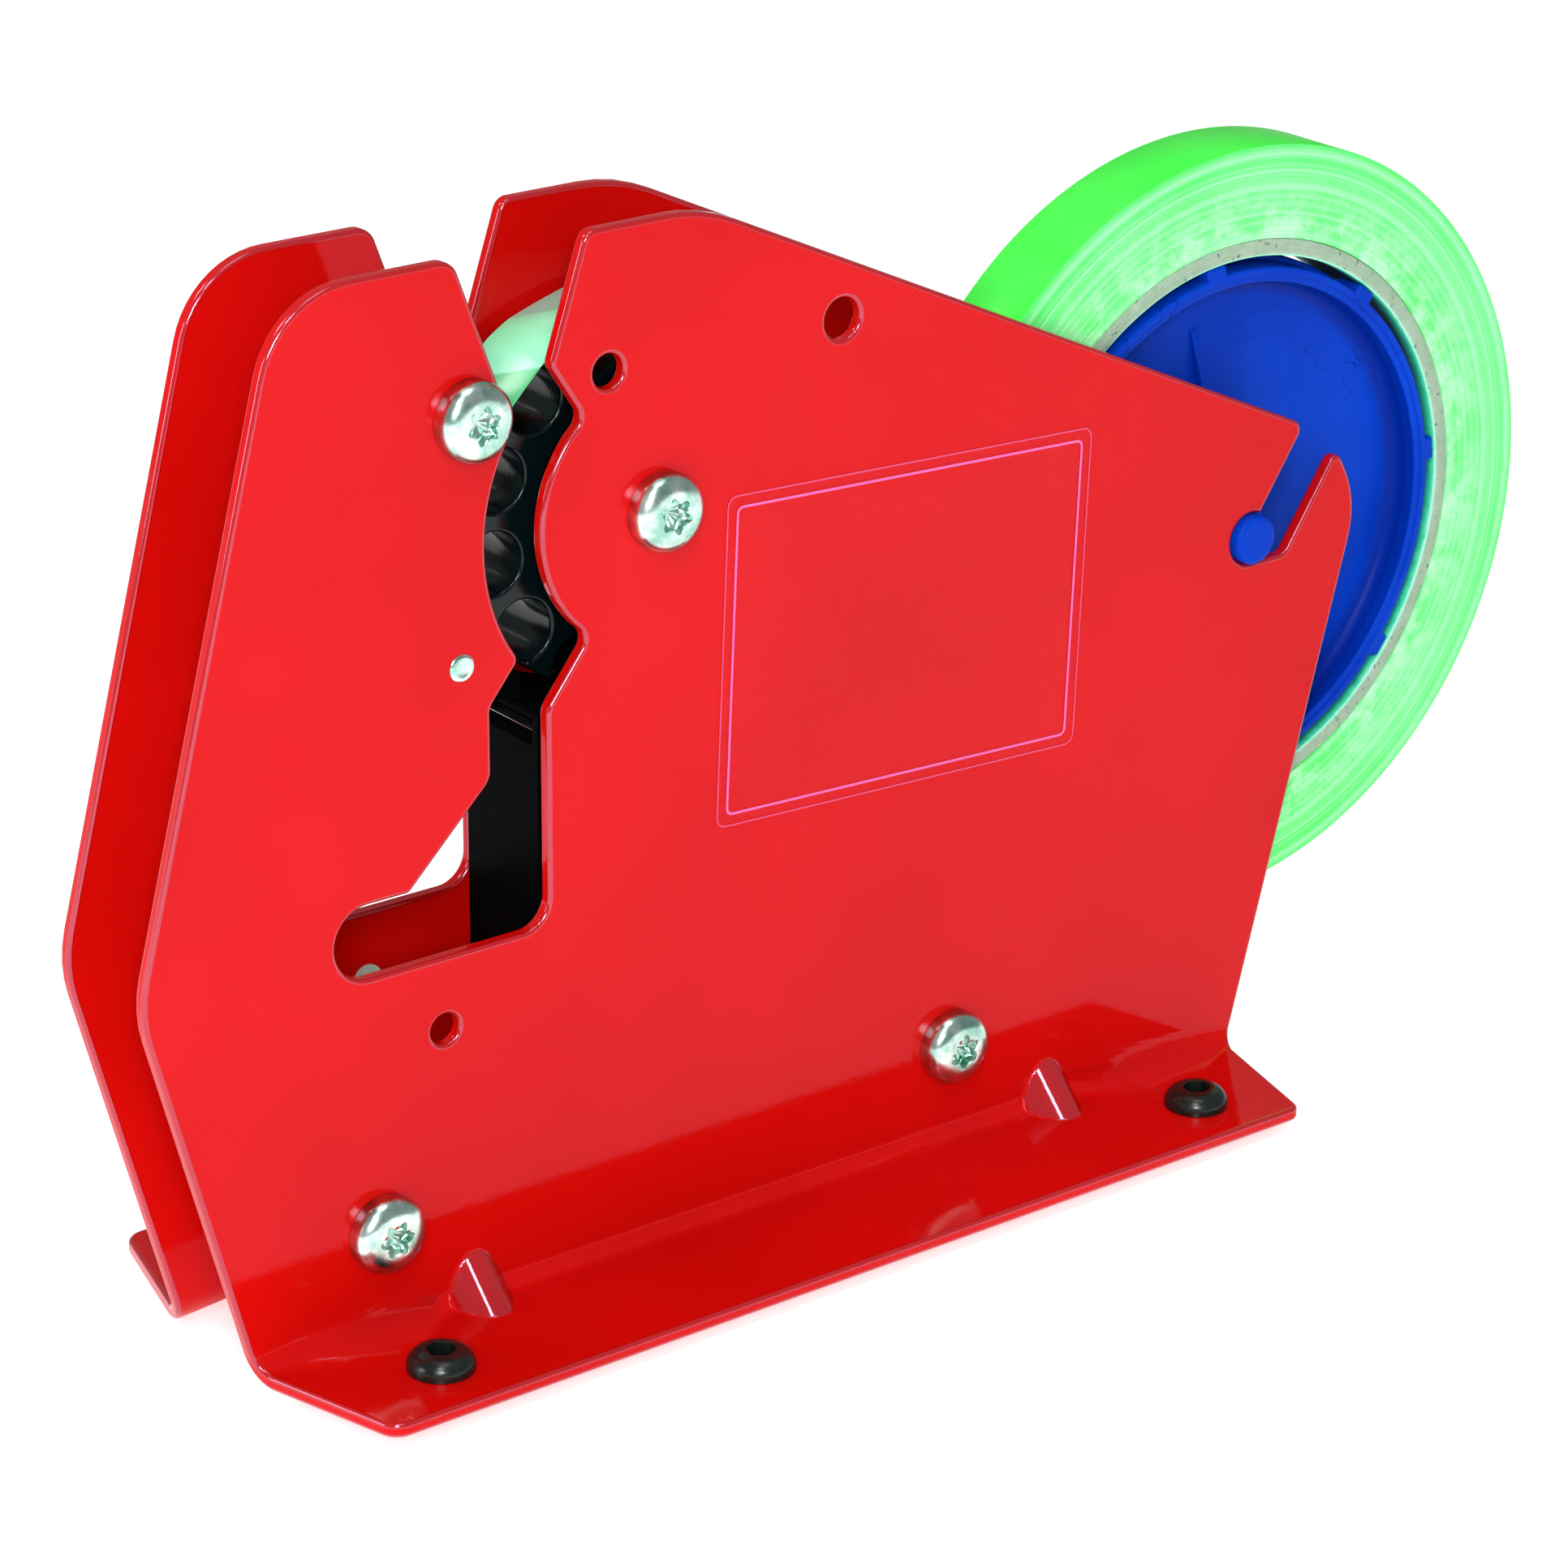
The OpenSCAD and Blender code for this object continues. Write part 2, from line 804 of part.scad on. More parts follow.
// A ring about the reel's axis, centred on the middle plane
module reel_ring(r_in, r_out) {
    raised()
        on_side(reel_at, 0)
            difference() {
                cylinder(r = r_out, h = tape_w, center = true, $fn = 128);
                cylinder(r = r_in, h = tape_w + 2, center = true, $fn = 128);
            }
}

module roll_core() {
    color("tan")
        reel_ring(core_r, core_r + core_t);
}

module tape_roll() {
    color("palegreen")
        reel_ring(core_r + core_t, roll_d / 2);
}

// ---------- running tape ----------

tape_t = 0.3;         // shown thicker than real tape
strip_end = 210;      // where its free end lies on the wheel
strip_lap = 8;        // angle over which it leaves the roll

// The strip runs from the roll across to the wheel and round it, crossing between the two
module strip_profile() {
    wheel_line = wheel_r + free_gap + tape_t / 2;
    roll_line = roll_d / 2 + free_gap + tape_t / 2;
    span = reel_at - wheel_at;
    heading = atan2(span[1], span[0]);
    leave = heading + acos((wheel_line + roll_line) / norm(span));
    from_wheel = wheel_at + wheel_line * [cos(leave), sin(leave)];
    to_roll = reel_at - roll_line * [cos(leave), sin(leave)];
    run = to_roll - from_wheel;
    ring_part(wheel_at, wheel_line, leave - 1, strip_end);
    ring_part(reel_at, roll_line, leave + 179, leave + 180 + strip_lap);
    translate(from_wheel)
        rotate(atan2(run[1], run[0]))
            translate([0, -tape_t / 2])
                square([norm(run), tape_t]);
}

// Part of a thin ring, tape_t thick, from angle a to angle b (under 270 degrees)
module ring_part(c, r, a, b) {
    wide = 3 * r;
    translate(c)
        intersection() {
            difference() {
                circle(r = r + tape_t / 2, $fn = 128);
                circle(r = r - tape_t / 2, $fn = 128);
            }
            polygon(concat(
                [[0, 0]],
                [for (i = [0:6]) let (t = a + (b - a) * i / 6) wide * [cos(t), sin(t)]]
            ));
        }
}

module tape_strip() {
    color("palegreen")
        raised()
            translate([0, tape_w / 2, 0])
                rotate([90, 0, 0])
                    linear_extrude(tape_w)
                        strip_profile();
}

// ---------- label ----------

label_at = [0.6, 78.4];
label_size = [60.3, 44.6];
label_tilt = -2.2;
label_t = 0.12;

module label_film() {
    color("salmon")
        raised()
            translate([label_at[0], -outer_y, label_at[1]])
                rotate([90, 0, 0])
                    rotate(label_tilt)
                        linear_extrude(label_t)
                            polygon(rounded([
                                [-label_size[0] / 2, -label_size[1] / 2, 1.5],
                                [label_size[0] / 2, -label_size[1] / 2, 1.5],
                                [label_size[0] / 2, label_size[1] / 2, 1.5],
                                [-label_size[0] / 2, label_size[1] / 2, 1.5]
                            ]));
}

side_plate_near();
side_plate_far();
side_screws_near();
side_screws_far();
spacer_top_front();
spacer_bottom_front();
spacer_bottom_rear();
wheel_axle();
star_wheel();
pressure_arm();
arm_pivot_pin();
arm_spring();
blade_holder();
blade();
blade_screws();
locating_pin();
reel_hub_near();
reel_hub_far();
roll_core();
tape_roll();
tape_strip();
foot_screws();
rubber_feet();
label_film();
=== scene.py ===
import math

import bpy
import numpy as np
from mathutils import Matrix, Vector
from mathutils.geometry import delaunay_2d_cdt


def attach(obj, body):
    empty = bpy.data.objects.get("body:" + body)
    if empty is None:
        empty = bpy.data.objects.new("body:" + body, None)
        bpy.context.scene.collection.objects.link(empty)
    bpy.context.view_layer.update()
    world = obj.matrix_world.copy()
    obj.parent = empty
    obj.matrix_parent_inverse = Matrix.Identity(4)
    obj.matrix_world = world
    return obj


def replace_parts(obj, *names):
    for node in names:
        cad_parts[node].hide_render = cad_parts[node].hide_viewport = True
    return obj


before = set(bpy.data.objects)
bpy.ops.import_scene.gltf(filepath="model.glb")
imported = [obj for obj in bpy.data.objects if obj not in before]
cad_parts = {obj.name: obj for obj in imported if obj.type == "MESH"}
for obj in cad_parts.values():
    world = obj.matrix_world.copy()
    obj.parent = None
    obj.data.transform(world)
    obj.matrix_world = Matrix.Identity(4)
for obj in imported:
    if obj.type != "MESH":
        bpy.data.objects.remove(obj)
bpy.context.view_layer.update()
scene = bpy.context.scene

# Lengths are in mm, except in the lights and the materials, which are in metres. The object
# stands on z = 0, X runs from the throat's end to the reel, and the near plate faces -Y.
MM = 0.001
FOOT_H = 2.4                      # the flanges' underside over the floor

# (x, height over the flanges' underside), and the same over the floor
WHEEL_AT, REEL_AT, ARM_AT = (-39.0, 102.3), (61.4, 77.6), (-69.0, 88.0)
WHEEL, REEL, ARM = ((x, h + FOOT_H) for x, h in (WHEEL_AT, REEL_AT, ARM_AT))

# ---------- camera, stage and light ----------

CAMERA_PLACE = (-386.95, -482.62, 306.74)
CAMERA_TURN = (-37.865, 22.123, -0.522)       # azimuth, elevation and roll in degrees
LENS, SENSOR = 115.01, 36
CLIP = (0.05, 20)                             # metres

WORLD_LIGHT = 0.33
FLOOR_TONE, FLOOR_GLOW = 0.95, 0.54
LIGHTS = [                                    # name, place, target, size, watts
    ("key", (-0.66, -0.84, 0.56), (0, 0, 0.07), 0.34, 8.4),
    ("top", (-0.5, -0.6, 0.95), (0, 0, 0.07), 0.22, 3.0),
    ("over", (-0.1, -0.3, 1.2), (0, 0, 0.05), 0.5, 2.2),
    ("side", (-1.1, 0.25, 0.35), (0, 0, 0.07), 0.35, 2.5),
    ("back", (-0.55, 0.72, 0.8), (-0.04, 0, 0.1), 0.24, 2.2),
]


def make_camera():
    azimuth, elevation, roll = (math.radians(v) for v in CAMERA_TURN)
    forward = Vector((-math.sin(azimuth) * math.cos(elevation),
                      math.cos(azimuth) * math.cos(elevation), -math.sin(elevation)))
    level = forward.cross(Vector((0, 0, 1))).normalized()
    below = forward.cross(level)
    right = math.cos(roll) * level + math.sin(roll) * below
    down = -math.sin(roll) * level + math.cos(roll) * below
    cam = bpy.data.objects.new("camera", bpy.data.cameras.new("camera"))
    scene.collection.objects.link(cam)
    pose = cam.matrix_world.copy()
    for i, column in enumerate((right, -down, -forward)):
        for j in range(3):
            pose[j][i] = column[j]
    for j, v in enumerate(CAMERA_PLACE):
        pose[j][3] = v * MM
    cam.matrix_world = pose
    cam.data.sensor_width = SENSOR
    cam.data.lens = LENS
    cam.data.clip_start, cam.data.clip_end = CLIP
    scene.camera = cam


def area_light(name, place, target, size, watts):
    data = bpy.data.lights.new(name, "AREA")
    data.shape = "RECTANGLE"
    data.size = data.size_y = size
    data.energy = watts
    lamp = bpy.data.objects.new(name, data)
    scene.collection.objects.link(lamp)
    lamp.location = place
    lamp.rotation_mode = "QUATERNION"
    lamp.rotation_quaternion = (Vector(target) - Vector(place)).to_track_quat("-Z", "Y")


def make_stage():
    bpy.ops.mesh.primitive_plane_add(size=8, location=(0, 0, 0))
    floor = bpy.context.object
    floor.name = "floor"
    mat = bpy.data.materials.new("floor")
    mat.use_nodes = True
    shader = mat.node_tree.nodes["Principled BSDF"]
    shader.inputs["Base Color"].default_value = (FLOOR_TONE, FLOOR_TONE, FLOOR_TONE, 1)
    shader.inputs["Roughness"].default_value = 0.9
    shader.inputs["Emission Color"].default_value = (1, 1, 1, 1)
    shader.inputs["Emission Strength"].default_value = FLOOR_GLOW
    floor.data.materials.append(mat)
    world = bpy.data.worlds.new("studio")
    scene.world = world
    world.use_nodes = True
    background = world.node_tree.nodes["Background"]
    background.inputs["Color"].default_value = (1, 1, 1, 1)
    background.inputs["Strength"].default_value = WORLD_LIGHT
    for light in LIGHTS:
        area_light(*light)
    scene.view_settings.view_transform = "Standard"


# ---------- materials ----------


class Mat:
    """A procedural material under construction, on object coordinates.

    colour, rough and the further sockets are the shader's own values. What is linked later with
    paint, shine and bump takes their place.
    """

    def __init__(self, name, colour, rough=0.4, metallic=0.0, **sockets):
        self.mat = bpy.data.materials.new(name)
        self.mat.use_nodes = True
        self.nodes = self.mat.node_tree.nodes
        self.links = self.mat.node_tree.links
        self.bsdf = self.nodes["Principled BSDF"]
        self.set("Base Color", (*colour, 1))
        self.set("Roughness", rough)
        self.set("Metallic", metallic)
        for socket, value in sockets.items():
            self.set(socket.replace("_", " "), value)
        self.coord = self.nodes.new("ShaderNodeTexCoord").outputs["Object"]

    def set(self, socket, value):
        self.bsdf.inputs[socket].default_value = value

    def node(self, kind, **props):
        n = self.nodes.new(kind)
        for k, v in props.items():
            setattr(n, k, v)
        return n

    def link(self, out, socket):
        self.links.new(out, socket)

    def noise(self, scale, detail=3, rough=0.5, stretch=None, coord=None):
        n = self.node("ShaderNodeTexNoise")
        n.inputs["Scale"].default_value = scale
        n.inputs["Detail"].default_value = detail
        n.inputs["Roughness"].default_value = rough
        source = coord or self.coord
        if stretch:
            m = self.node("ShaderNodeMapping")
            m.inputs["Scale"].default_value = stretch
            self.link(source, m.inputs["Vector"])
            source = m.outputs["Vector"]
        self.link(source, n.inputs["Vector"])
        return n.outputs["Fac"]

    def ramp(self, fac, *stops):
        """Each stop is (position, colour)."""
        r = self.node("ShaderNodeValToRGB")
        elements = r.color_ramp.elements
        while len(elements) < len(stops):
            elements.new(0.5)
        for element, (position, colour) in zip(elements, stops):
            element.position = position
            element.color = (*colour, 1)
        self.link(fac, r.inputs["Fac"])
        return r.outputs["Color"]

    def span(self, fac, to_lo, to_hi, lo=0.0, hi=1.0):
        """fac from lo to hi, mapped to to_lo to to_hi and held at the ends."""
        n = self.node("ShaderNodeMapRange")
        for k, v in (("From Min", lo), ("From Max", hi), ("To Min", to_lo), ("To Max", to_hi)):
            n.inputs[k].default_value = v
        self.link(fac, n.inputs["Value"])
        return n.outputs["Result"]

    def calc(self, op, a, b=0.0):
        n = self.node("ShaderNodeMath", operation=op)
        for i, v in enumerate((a, b)):
            if isinstance(v, (int, float)):
                n.inputs[i].default_value = v
            else:
                self.link(v, n.inputs[i])
        return n.outputs[0]

    def mix(self, fac, a, b):
        """Colour a where fac is 0, and b where it is 1."""
        n = self.node("ShaderNodeMix", data_type="RGBA", blend_type="MIX")
        for i, v in ((0, fac), (6, a), (7, b)):
            if isinstance(v, tuple):
                n.inputs[i].default_value = (*v, 1)
            else:
                self.link(v, n.inputs[i])
        return n.outputs[2]

    def blend(self, fac, lo, hi, a, b):
        """Colour a where fac is below lo, and b where it is above hi."""
        return self.mix(self.span(fac, 0, 1, lo, hi), a, b)

    def paint(self, out):
        self.link(out, self.bsdf.inputs["Base Color"])

    def shine(self, fac, lo, hi):
        """Roughness from lo to hi over fac."""
        self.link(self.span(fac, lo, hi), self.bsdf.inputs["Roughness"])

    def bump(self, *heights):
        """Each height is (output, strength, distance in metres)."""
        last = None
        for out, strength, distance in heights:
            b = self.node("ShaderNodeBump")
            b.inputs["Strength"].default_value = strength
            b.inputs["Distance"].default_value = distance
            self.link(out, b.inputs["Height"])
            if last:
                self.link(last, b.inputs["Normal"])
            last = b.outputs["Normal"]
        self.link(last, self.bsdf.inputs["Normal"])

    def axes(self):
        """The outputs X, Y and Z of the coordinates."""
        s = self.node("ShaderNodeSeparateXYZ")
        self.link(self.coord, s.inputs[0])
        return s.outputs

    def reel_radius(self):
        """Distance from the reel's axis, in metres."""
        axes = self.axes()
        dx = self.calc("SUBTRACT", axes["X"], REEL[0] * MM)
        dz = self.calc("SUBTRACT", axes["Z"], REEL[1] * MM)
        squares = self.calc("ADD", self.calc("MULTIPLY", dx, dx), self.calc("MULTIPLY", dz, dz))
        return self.calc("SQRT", squares)

    def as_coord(self, out):
        """A single value as a coordinate, for noise that varies along it alone."""
        c = self.node("ShaderNodeCombineXYZ")
        self.link(out, c.inputs[0])
        return c.outputs[0]


def red_paint(name="red_paint", spec=0.165, rough=(0.05, 0.09), dim=1.0):
    m = Mat(name, (0.6, 0.002, 0.014), rough[0], Specular_IOR_Level=spec,
            Specular_Tint=(1, 0.72, 1, 1))
    m.paint(m.blend(m.noise(18, 3, 0.55), 0.35, 0.65,
                    (0.50 * dim, 0.0025, 0.0012), (0.58 * dim, 0.0035, 0.003)))
    m.shine(m.noise(60, 4, 0.6), *rough)
    m.bump((m.noise(900, 2, 0.5), 0.05, 0.0002), (m.noise(2600, 2, 0.5), 0.03, 0.0001))
    return m.mat


def zinc():
    m = Mat("bright_zinc", (0.66, 0.80, 0.72), 0.18, 1.0)
    m.paint(m.ramp(m.noise(330, 4, 0.6), (0.34, (0.28, 0.54, 0.45)),
                   (0.5, (0.52, 0.73, 0.65)), (0.66, (0.80, 0.90, 0.86))))
    m.shine(m.noise(700, 4, 0.6), 0.12, 0.3)
    m.bump((m.noise(1500, 3, 0.5), 0.12, 0.0001))
    return m.mat


def turned_steel(name="turned_steel", tone=0.62):
    m = Mat(name, (tone, tone, tone), 0.3, 1.0)
    rings = m.noise(1200, 3, 0.6, stretch=(0.05, 1, 0.05))
    m.paint(m.ramp(m.noise(90, 4, 0.6), (0.3, (tone * 0.8,) * 3), (0.7, (tone * 1.1,) * 3)))
    m.shine(rings, 0.2, 0.42)
    m.bump((rings, 0.15, 0.0001))
    return m.mat


def pale_pin():
    # painted light: paler and less metallic than the zinc, so the pin shows bright inside the
    # plates' shade
    m = Mat("pale_pin", (0.50, 0.80, 0.64), 0.3, 0.25)
    m.paint(m.ramp(m.noise(500, 4, 0.6), (0.3, (0.42, 0.74, 0.58)), (0.7, (0.66, 0.90, 0.78))))
    m.shine(m.noise(900, 3, 0.6), 0.2, 0.4)
    m.bump((m.noise(1500, 3, 0.5), 0.12, 0.0001))
    return m.mat


def black_oxide():
    m = Mat("black_oxide", (0.006, 0.012, 0.010), 0.3, 0.3)
    m.paint(m.ramp(m.noise(400, 4, 0.6),
                   (0.3, (0.003, 0.006, 0.005)), (0.75, (0.010, 0.018, 0.015))))
    m.shine(m.noise(900, 3, 0.6), 0.16, 0.34)
    m.bump((m.noise(2500, 3, 0.5), 0.2, 0.0001))
    return m.mat


def black_plastic(name, base, rough, spec):
    m = Mat(name, base, 0.35, Specular_IOR_Level=spec)
    lighter = tuple(c * 1.6 + 0.0006 for c in base)
    m.paint(m.blend(m.noise(55, 4, 0.6), 0.3, 0.7, base, lighter))
    m.shine(m.noise(500, 4, 0.6), *rough)
    m.bump((m.noise(3000, 2, 0.5), 0.15, 0.00008), (m.noise(160, 3, 0.5), 0.1, 0.0003))
    return m.mat


def rubber():
    m = Mat("foot_rubber", (0.02, 0.02, 0.02), 0.75)
    m.paint(m.ramp(m.noise(300, 5, 0.65),
                   (0.3, (0.012, 0.012, 0.012)), (0.75, (0.04, 0.04, 0.038))))
    m.bump((m.noise(1800, 4, 0.6), 0.3, 0.0002))
    return m.mat


def tape_side():
    """The wound edge of the tape: fine rings, and paler patches towards the core."""
    m = Mat("tape_edge", (0.15, 0.92, 0.22), 0.5, Specular_IOR_Level=0.2)
    radius = m.reel_radius()
    along = m.as_coord(radius)
    rings = m.noise(5200, 3, 0.7, coord=along)
    bands = m.noise(900, 3, 0.6, coord=along)
    near_core = m.span(radius, 1.0, 0.0, 0.0415, 0.0505)
    flecks = m.span(m.noise(260, 4, 0.7), 0, 1, 0.42, 0.62)
    base = m.blend(m.noise(34, 5, 0.65), 0.4, 0.62, (0.10, 0.86, 0.15), (0.19, 0.92, 0.29))
    base = m.mix(m.calc("MULTIPLY", near_core, flecks), base, (0.52, 0.97, 0.62))
    base = m.mix(m.span(rings, 0, 0.75, 0.42, 0.66), base, (0.05, 0.68, 0.10))
    base = m.mix(m.span(bands, 0, 0.7, 0.46, 0.62), base, (0.40, 1.0, 0.52))
    m.paint(base)
    m.shine(rings, 0.32, 0.55)
    m.bump((rings, 0.3, 0.0001))
    return m.mat


def tape_face():
    m = Mat("tape_face", (0.03, 0.9, 0.05), 0.35, Specular_IOR_Level=0.3)
    m.paint(m.blend(m.noise(70, 4, 0.6, stretch=(1, 0.25, 1)), 0.3, 0.7,
                    (0.033, 0.84, 0.042), (0.072, 0.95, 0.082)))
    m.shine(m.noise(220, 3, 0.6), 0.3, 0.45)
    m.bump((m.noise(120, 3, 0.5, stretch=(1, 0.2, 1)), 0.12, 0.0004))
    return m.mat


def tape_run():
    """Thin tape round the wheel, with painted reflection and shade: darker green low at its front,
    and greyer at its top.
    """
    m = Mat("tape_run", (0.40, 0.92, 0.62), 0.22, Coat_Weight=0.08, Coat_Roughness=0.1)
    axes = m.axes()
    height = m.calc("ADD", axes["Z"], m.calc("MULTIPLY", axes["Y"], 0.33))
    base = m.blend(m.noise(60, 4, 0.6), 0.3, 0.7, (0.22, 0.79, 0.42), (0.36, 0.91, 0.60))
    # painted reflection and shade: bands by height, darker green low at the front and greyer at
    # the top
    base = m.mix(m.span(height, 1.0, 0.0, 0.1228, 0.1231), base, (0.08, 0.52, 0.20))
    base = m.mix(m.span(height, 0.0, 0.85, 0.1293, 0.1296), base, (0.26, 0.50, 0.40))
    m.paint(base)
    m.shine(m.noise(200, 3, 0.6), 0.16, 0.3)
    m.bump((m.noise(160, 3, 0.5), 0.1, 0.0003))
    return m.mat


def card():
    m = Mat("core_card", (0.38, 0.55, 0.44), 0.85)
    plies = m.noise(1500, 2, 0.6, coord=m.as_coord(m.reel_radius()))
    specks = m.noise(1100, 2, 0.5)
    base = m.blend(m.noise(420, 5, 0.7), 0.3, 0.7, (0.24, 0.36, 0.25), (0.38, 0.50, 0.38))
    base = m.mix(m.span(plies, 0, 0.5, 0.4, 0.65), base, (0.18, 0.30, 0.21))
    m.paint(m.blend(specks, 0.66, 0.72, base, (0.10, 0.16, 0.13)))
    m.bump((m.noise(900, 5, 0.7), 0.4, 0.0003), (plies, 0.3, 0.0002))
    return m.mat


def core_bore():
    """The core's bore, with painted green light from the tape at its mouths and painted shade
    inside.
    """
    m = Mat("core_bore", (0.1, 0.5, 0.35), 0.7)
    ragged = m.calc("MULTIPLY", m.noise(420, 4, 0.7), 0.0016)
    depth = m.calc("ADD", m.calc("ABSOLUTE", m.axes()["Y"]), ragged)
    # painted light and shade: dark deep in the bore, bright green towards its mouths
    m.paint(m.ramp(m.span(depth, 0, 1, 0.0040, 0.0066),
                   (0.0, (0.0, 0.03, 0.06)), (0.5, (0.005, 0.38, 0.24)),
                   (0.85, (0.06, 0.80, 0.42)), (1.0, (0.30, 0.80, 0.55))))
    m.bump((m.noise(900, 5, 0.7), 0.4, 0.0003))
    return m.mat


def hub_plastic():
    """Blue plastic with fine scratches, and painted shade darkening the inner wall of the rim."""
    m = Mat("hub_blue", (0.001, 0.038, 0.46), 0.32, Specular_IOR_Level=0.04)
    base = m.blend(m.noise(30, 4, 0.6), 0.35, 0.65, (0.0005, 0.030, 0.38), (0.001, 0.046, 0.50))
    radius = m.reel_radius()
    # painted shade: the rim's inner wall is darkened by radius, as if it sat in shade
    wall = m.calc("MULTIPLY", m.span(radius, 0, 1, 0.0322, 0.0338),
                  m.span(radius, 1, 0, 0.03498, 0.03502))
    base = m.mix(m.calc("MULTIPLY", wall, 0.8), base, (0.0005, 0.014, 0.22))
    # scratches lie where a stretched noise crosses its middle, in scattered places
    marks = m.calc("SUBTRACT", m.noise(46, 2, 0.7, stretch=(1, 1, 1.8)), 0.5)
    scratch = m.span(m.calc("ABSOLUTE", marks), 1.0, 0.0, 0.0005, 0.0035)
    scratch = m.calc("MULTIPLY", scratch, m.span(m.noise(24, 2, 0.5), 0, 1, 0.56, 0.62))
    m.paint(m.mix(m.calc("MULTIPLY", scratch, 0.7), base, (0.0, 0.008, 0.14)))
    m.shine(m.noise(400, 4, 0.6), 0.24, 0.4)
    m.bump((m.noise(2600, 2, 0.5), 0.1, 0.0001), (m.noise(90, 3, 0.5), 0.12, 0.0003))
    return m.mat


def film(name, colour, alpha, rough=0.12):
    m = Mat(name, colour, rough)
    m.set("Alpha", alpha)
    m.shine(m.noise(300, 3, 0.6), rough * 0.7, rough * 1.5)
    m.bump((m.noise(90, 3, 0.5), 0.06, 0.0003))
    return m.mat


# ---------- outlines ----------


def polar(r, degrees):
    return r * math.cos(math.radians(degrees)), r * math.sin(math.radians(degrees))


def arc(c, r, a, b, step=3.0):
    """Points from angle a to b in degrees, at most step apart."""
    n = max(2, int(math.ceil(abs(b - a) / step)))
    offsets = [polar(r, a + (b - a) * i / n) for i in range(n + 1)]
    return [(c[0] + x, c[1] + y) for x, y in offsets]


def circle(c, r, n=64):
    turns = [2 * math.pi * i / n for i in range(n)]
    return [(c[0] + r * math.cos(a), c[1] + r * math.sin(a)) for a in turns]


def rounded(corners, step=7.5):
    """A closed outline from corners (x, y, radius)."""
    out = []
    for i, (x, y, r) in enumerate(corners):
        if r <= 0:
            out.append((x, y))
            continue
        corner = np.array((x, y))
        before = np.array(corners[i - 1][:2]) - corner
        after = np.array(corners[(i + 1) % len(corners)][:2]) - corner
        before, after = before / np.linalg.norm(before), after / np.linalg.norm(after)
        half = math.acos(max(-1, min(1, float(before @ after)))) / 2
        middle = (before + after) / np.linalg.norm(before + after)
        c = corner + middle * r / math.sin(half)
        first = corner + before * r / math.tan(half) - c
        last = corner + after * r / math.tan(half) - c
        a = math.degrees(math.atan2(first[1], first[0]))
        sweep = math.degrees(math.atan2(last[1], last[0])) - a
        if sweep > 180:
            sweep -= 360
        elif sweep < -180:
            sweep += 360
        out += arc(c, r, a, a + sweep, step)
    return out


def rectangle(half_w, half_h, r):
    corners = [(-half_w, -half_h, r), (half_w, -half_h, r), (half_w, half_h, r),
               (-half_w, half_h, r)]
    return rounded(corners, 10)


def directed(loop, anticlockwise=True):
    """The loop without doubled points, in the wanted direction."""
    points = np.array(loop, float)
    points = points[np.linalg.norm(points - np.roll(points, 1, 0), axis=1) > 1e-4]
    after = np.roll(points, -1, 0)
    area = (points[:, 0] * after[:, 1] - after[:, 0] * points[:, 1]).sum()
    return points if (area > 0) == anticlockwise else points[::-1]


def outward(loop):
    """Unit vectors out of the loop at its points, and how much a mitre lengthens them."""
    before = loop - np.roll(loop, 1, 0)
    after = np.roll(loop, -1, 0) - loop
    n1, n2 = (np.stack([e[:, 1], -e[:, 0]], 1) / np.linalg.norm(e, axis=1)[:, None]
              for e in (before, after))
    out = n1 + n2
    out /= np.linalg.norm(out, axis=1)[:, None]
    return out, 1 / np.maximum((out * n1).sum(1), 0.6)


def inside(points, loop):
    x, y = points[:, 0], points[:, 1]
    hit = np.zeros(len(points), bool)
    for (x1, y1), (x2, y2) in zip(loop, np.roll(loop, -1, 0)):
        if y1 != y2:
            hit ^= ((y1 > y) != (y2 > y)) & (x < (x2 - x1) * (y - y1) / (y2 - y1) + x1)
    return hit


# ---------- meshes ----------


def add_mesh(name, verts, faces, mats, normals=None, slots=None, sharp=None):
    """A smooth piece. normals are by vertex, slots by face, sharp is an angle in degrees."""
    me = bpy.data.meshes.new(name)
    me.from_pydata([tuple(v) for v in verts], [], [tuple(f) for f in faces])
    for m in (mats if isinstance(mats, list) else [mats]):
        me.materials.append(m)
    me.polygons.foreach_set("use_smooth", [True] * len(me.polygons))
    if slots is not None:
        me.polygons.foreach_set("material_index", slots)
    me.update()
    if normals is not None:
        me.normals_split_custom_set_from_vertices([tuple(n) for n in normals])
    elif sharp:
        me.set_sharp_from_angle(angle=math.radians(sharp))
    o = bpy.data.objects.new(name, me)
    scene.collection.objects.link(o)
    return o


def edge_profile(t, r, steps):
    """The edge of a sheet of thickness t, rounded to r: rows of inset, depth, and the normal's
    parts out of the loop and along the depth."""
    top = []
    for k in range(steps + 1):
        c, s = math.cos(math.pi / 2 * k / steps), math.sin(math.pi / 2 * k / steps)
        top.append((r * (1 - s), r * (1 - c), s, -c))
    return top + [(inset, t - depth, out, -along) for inset, depth, out, along in reversed(top)]


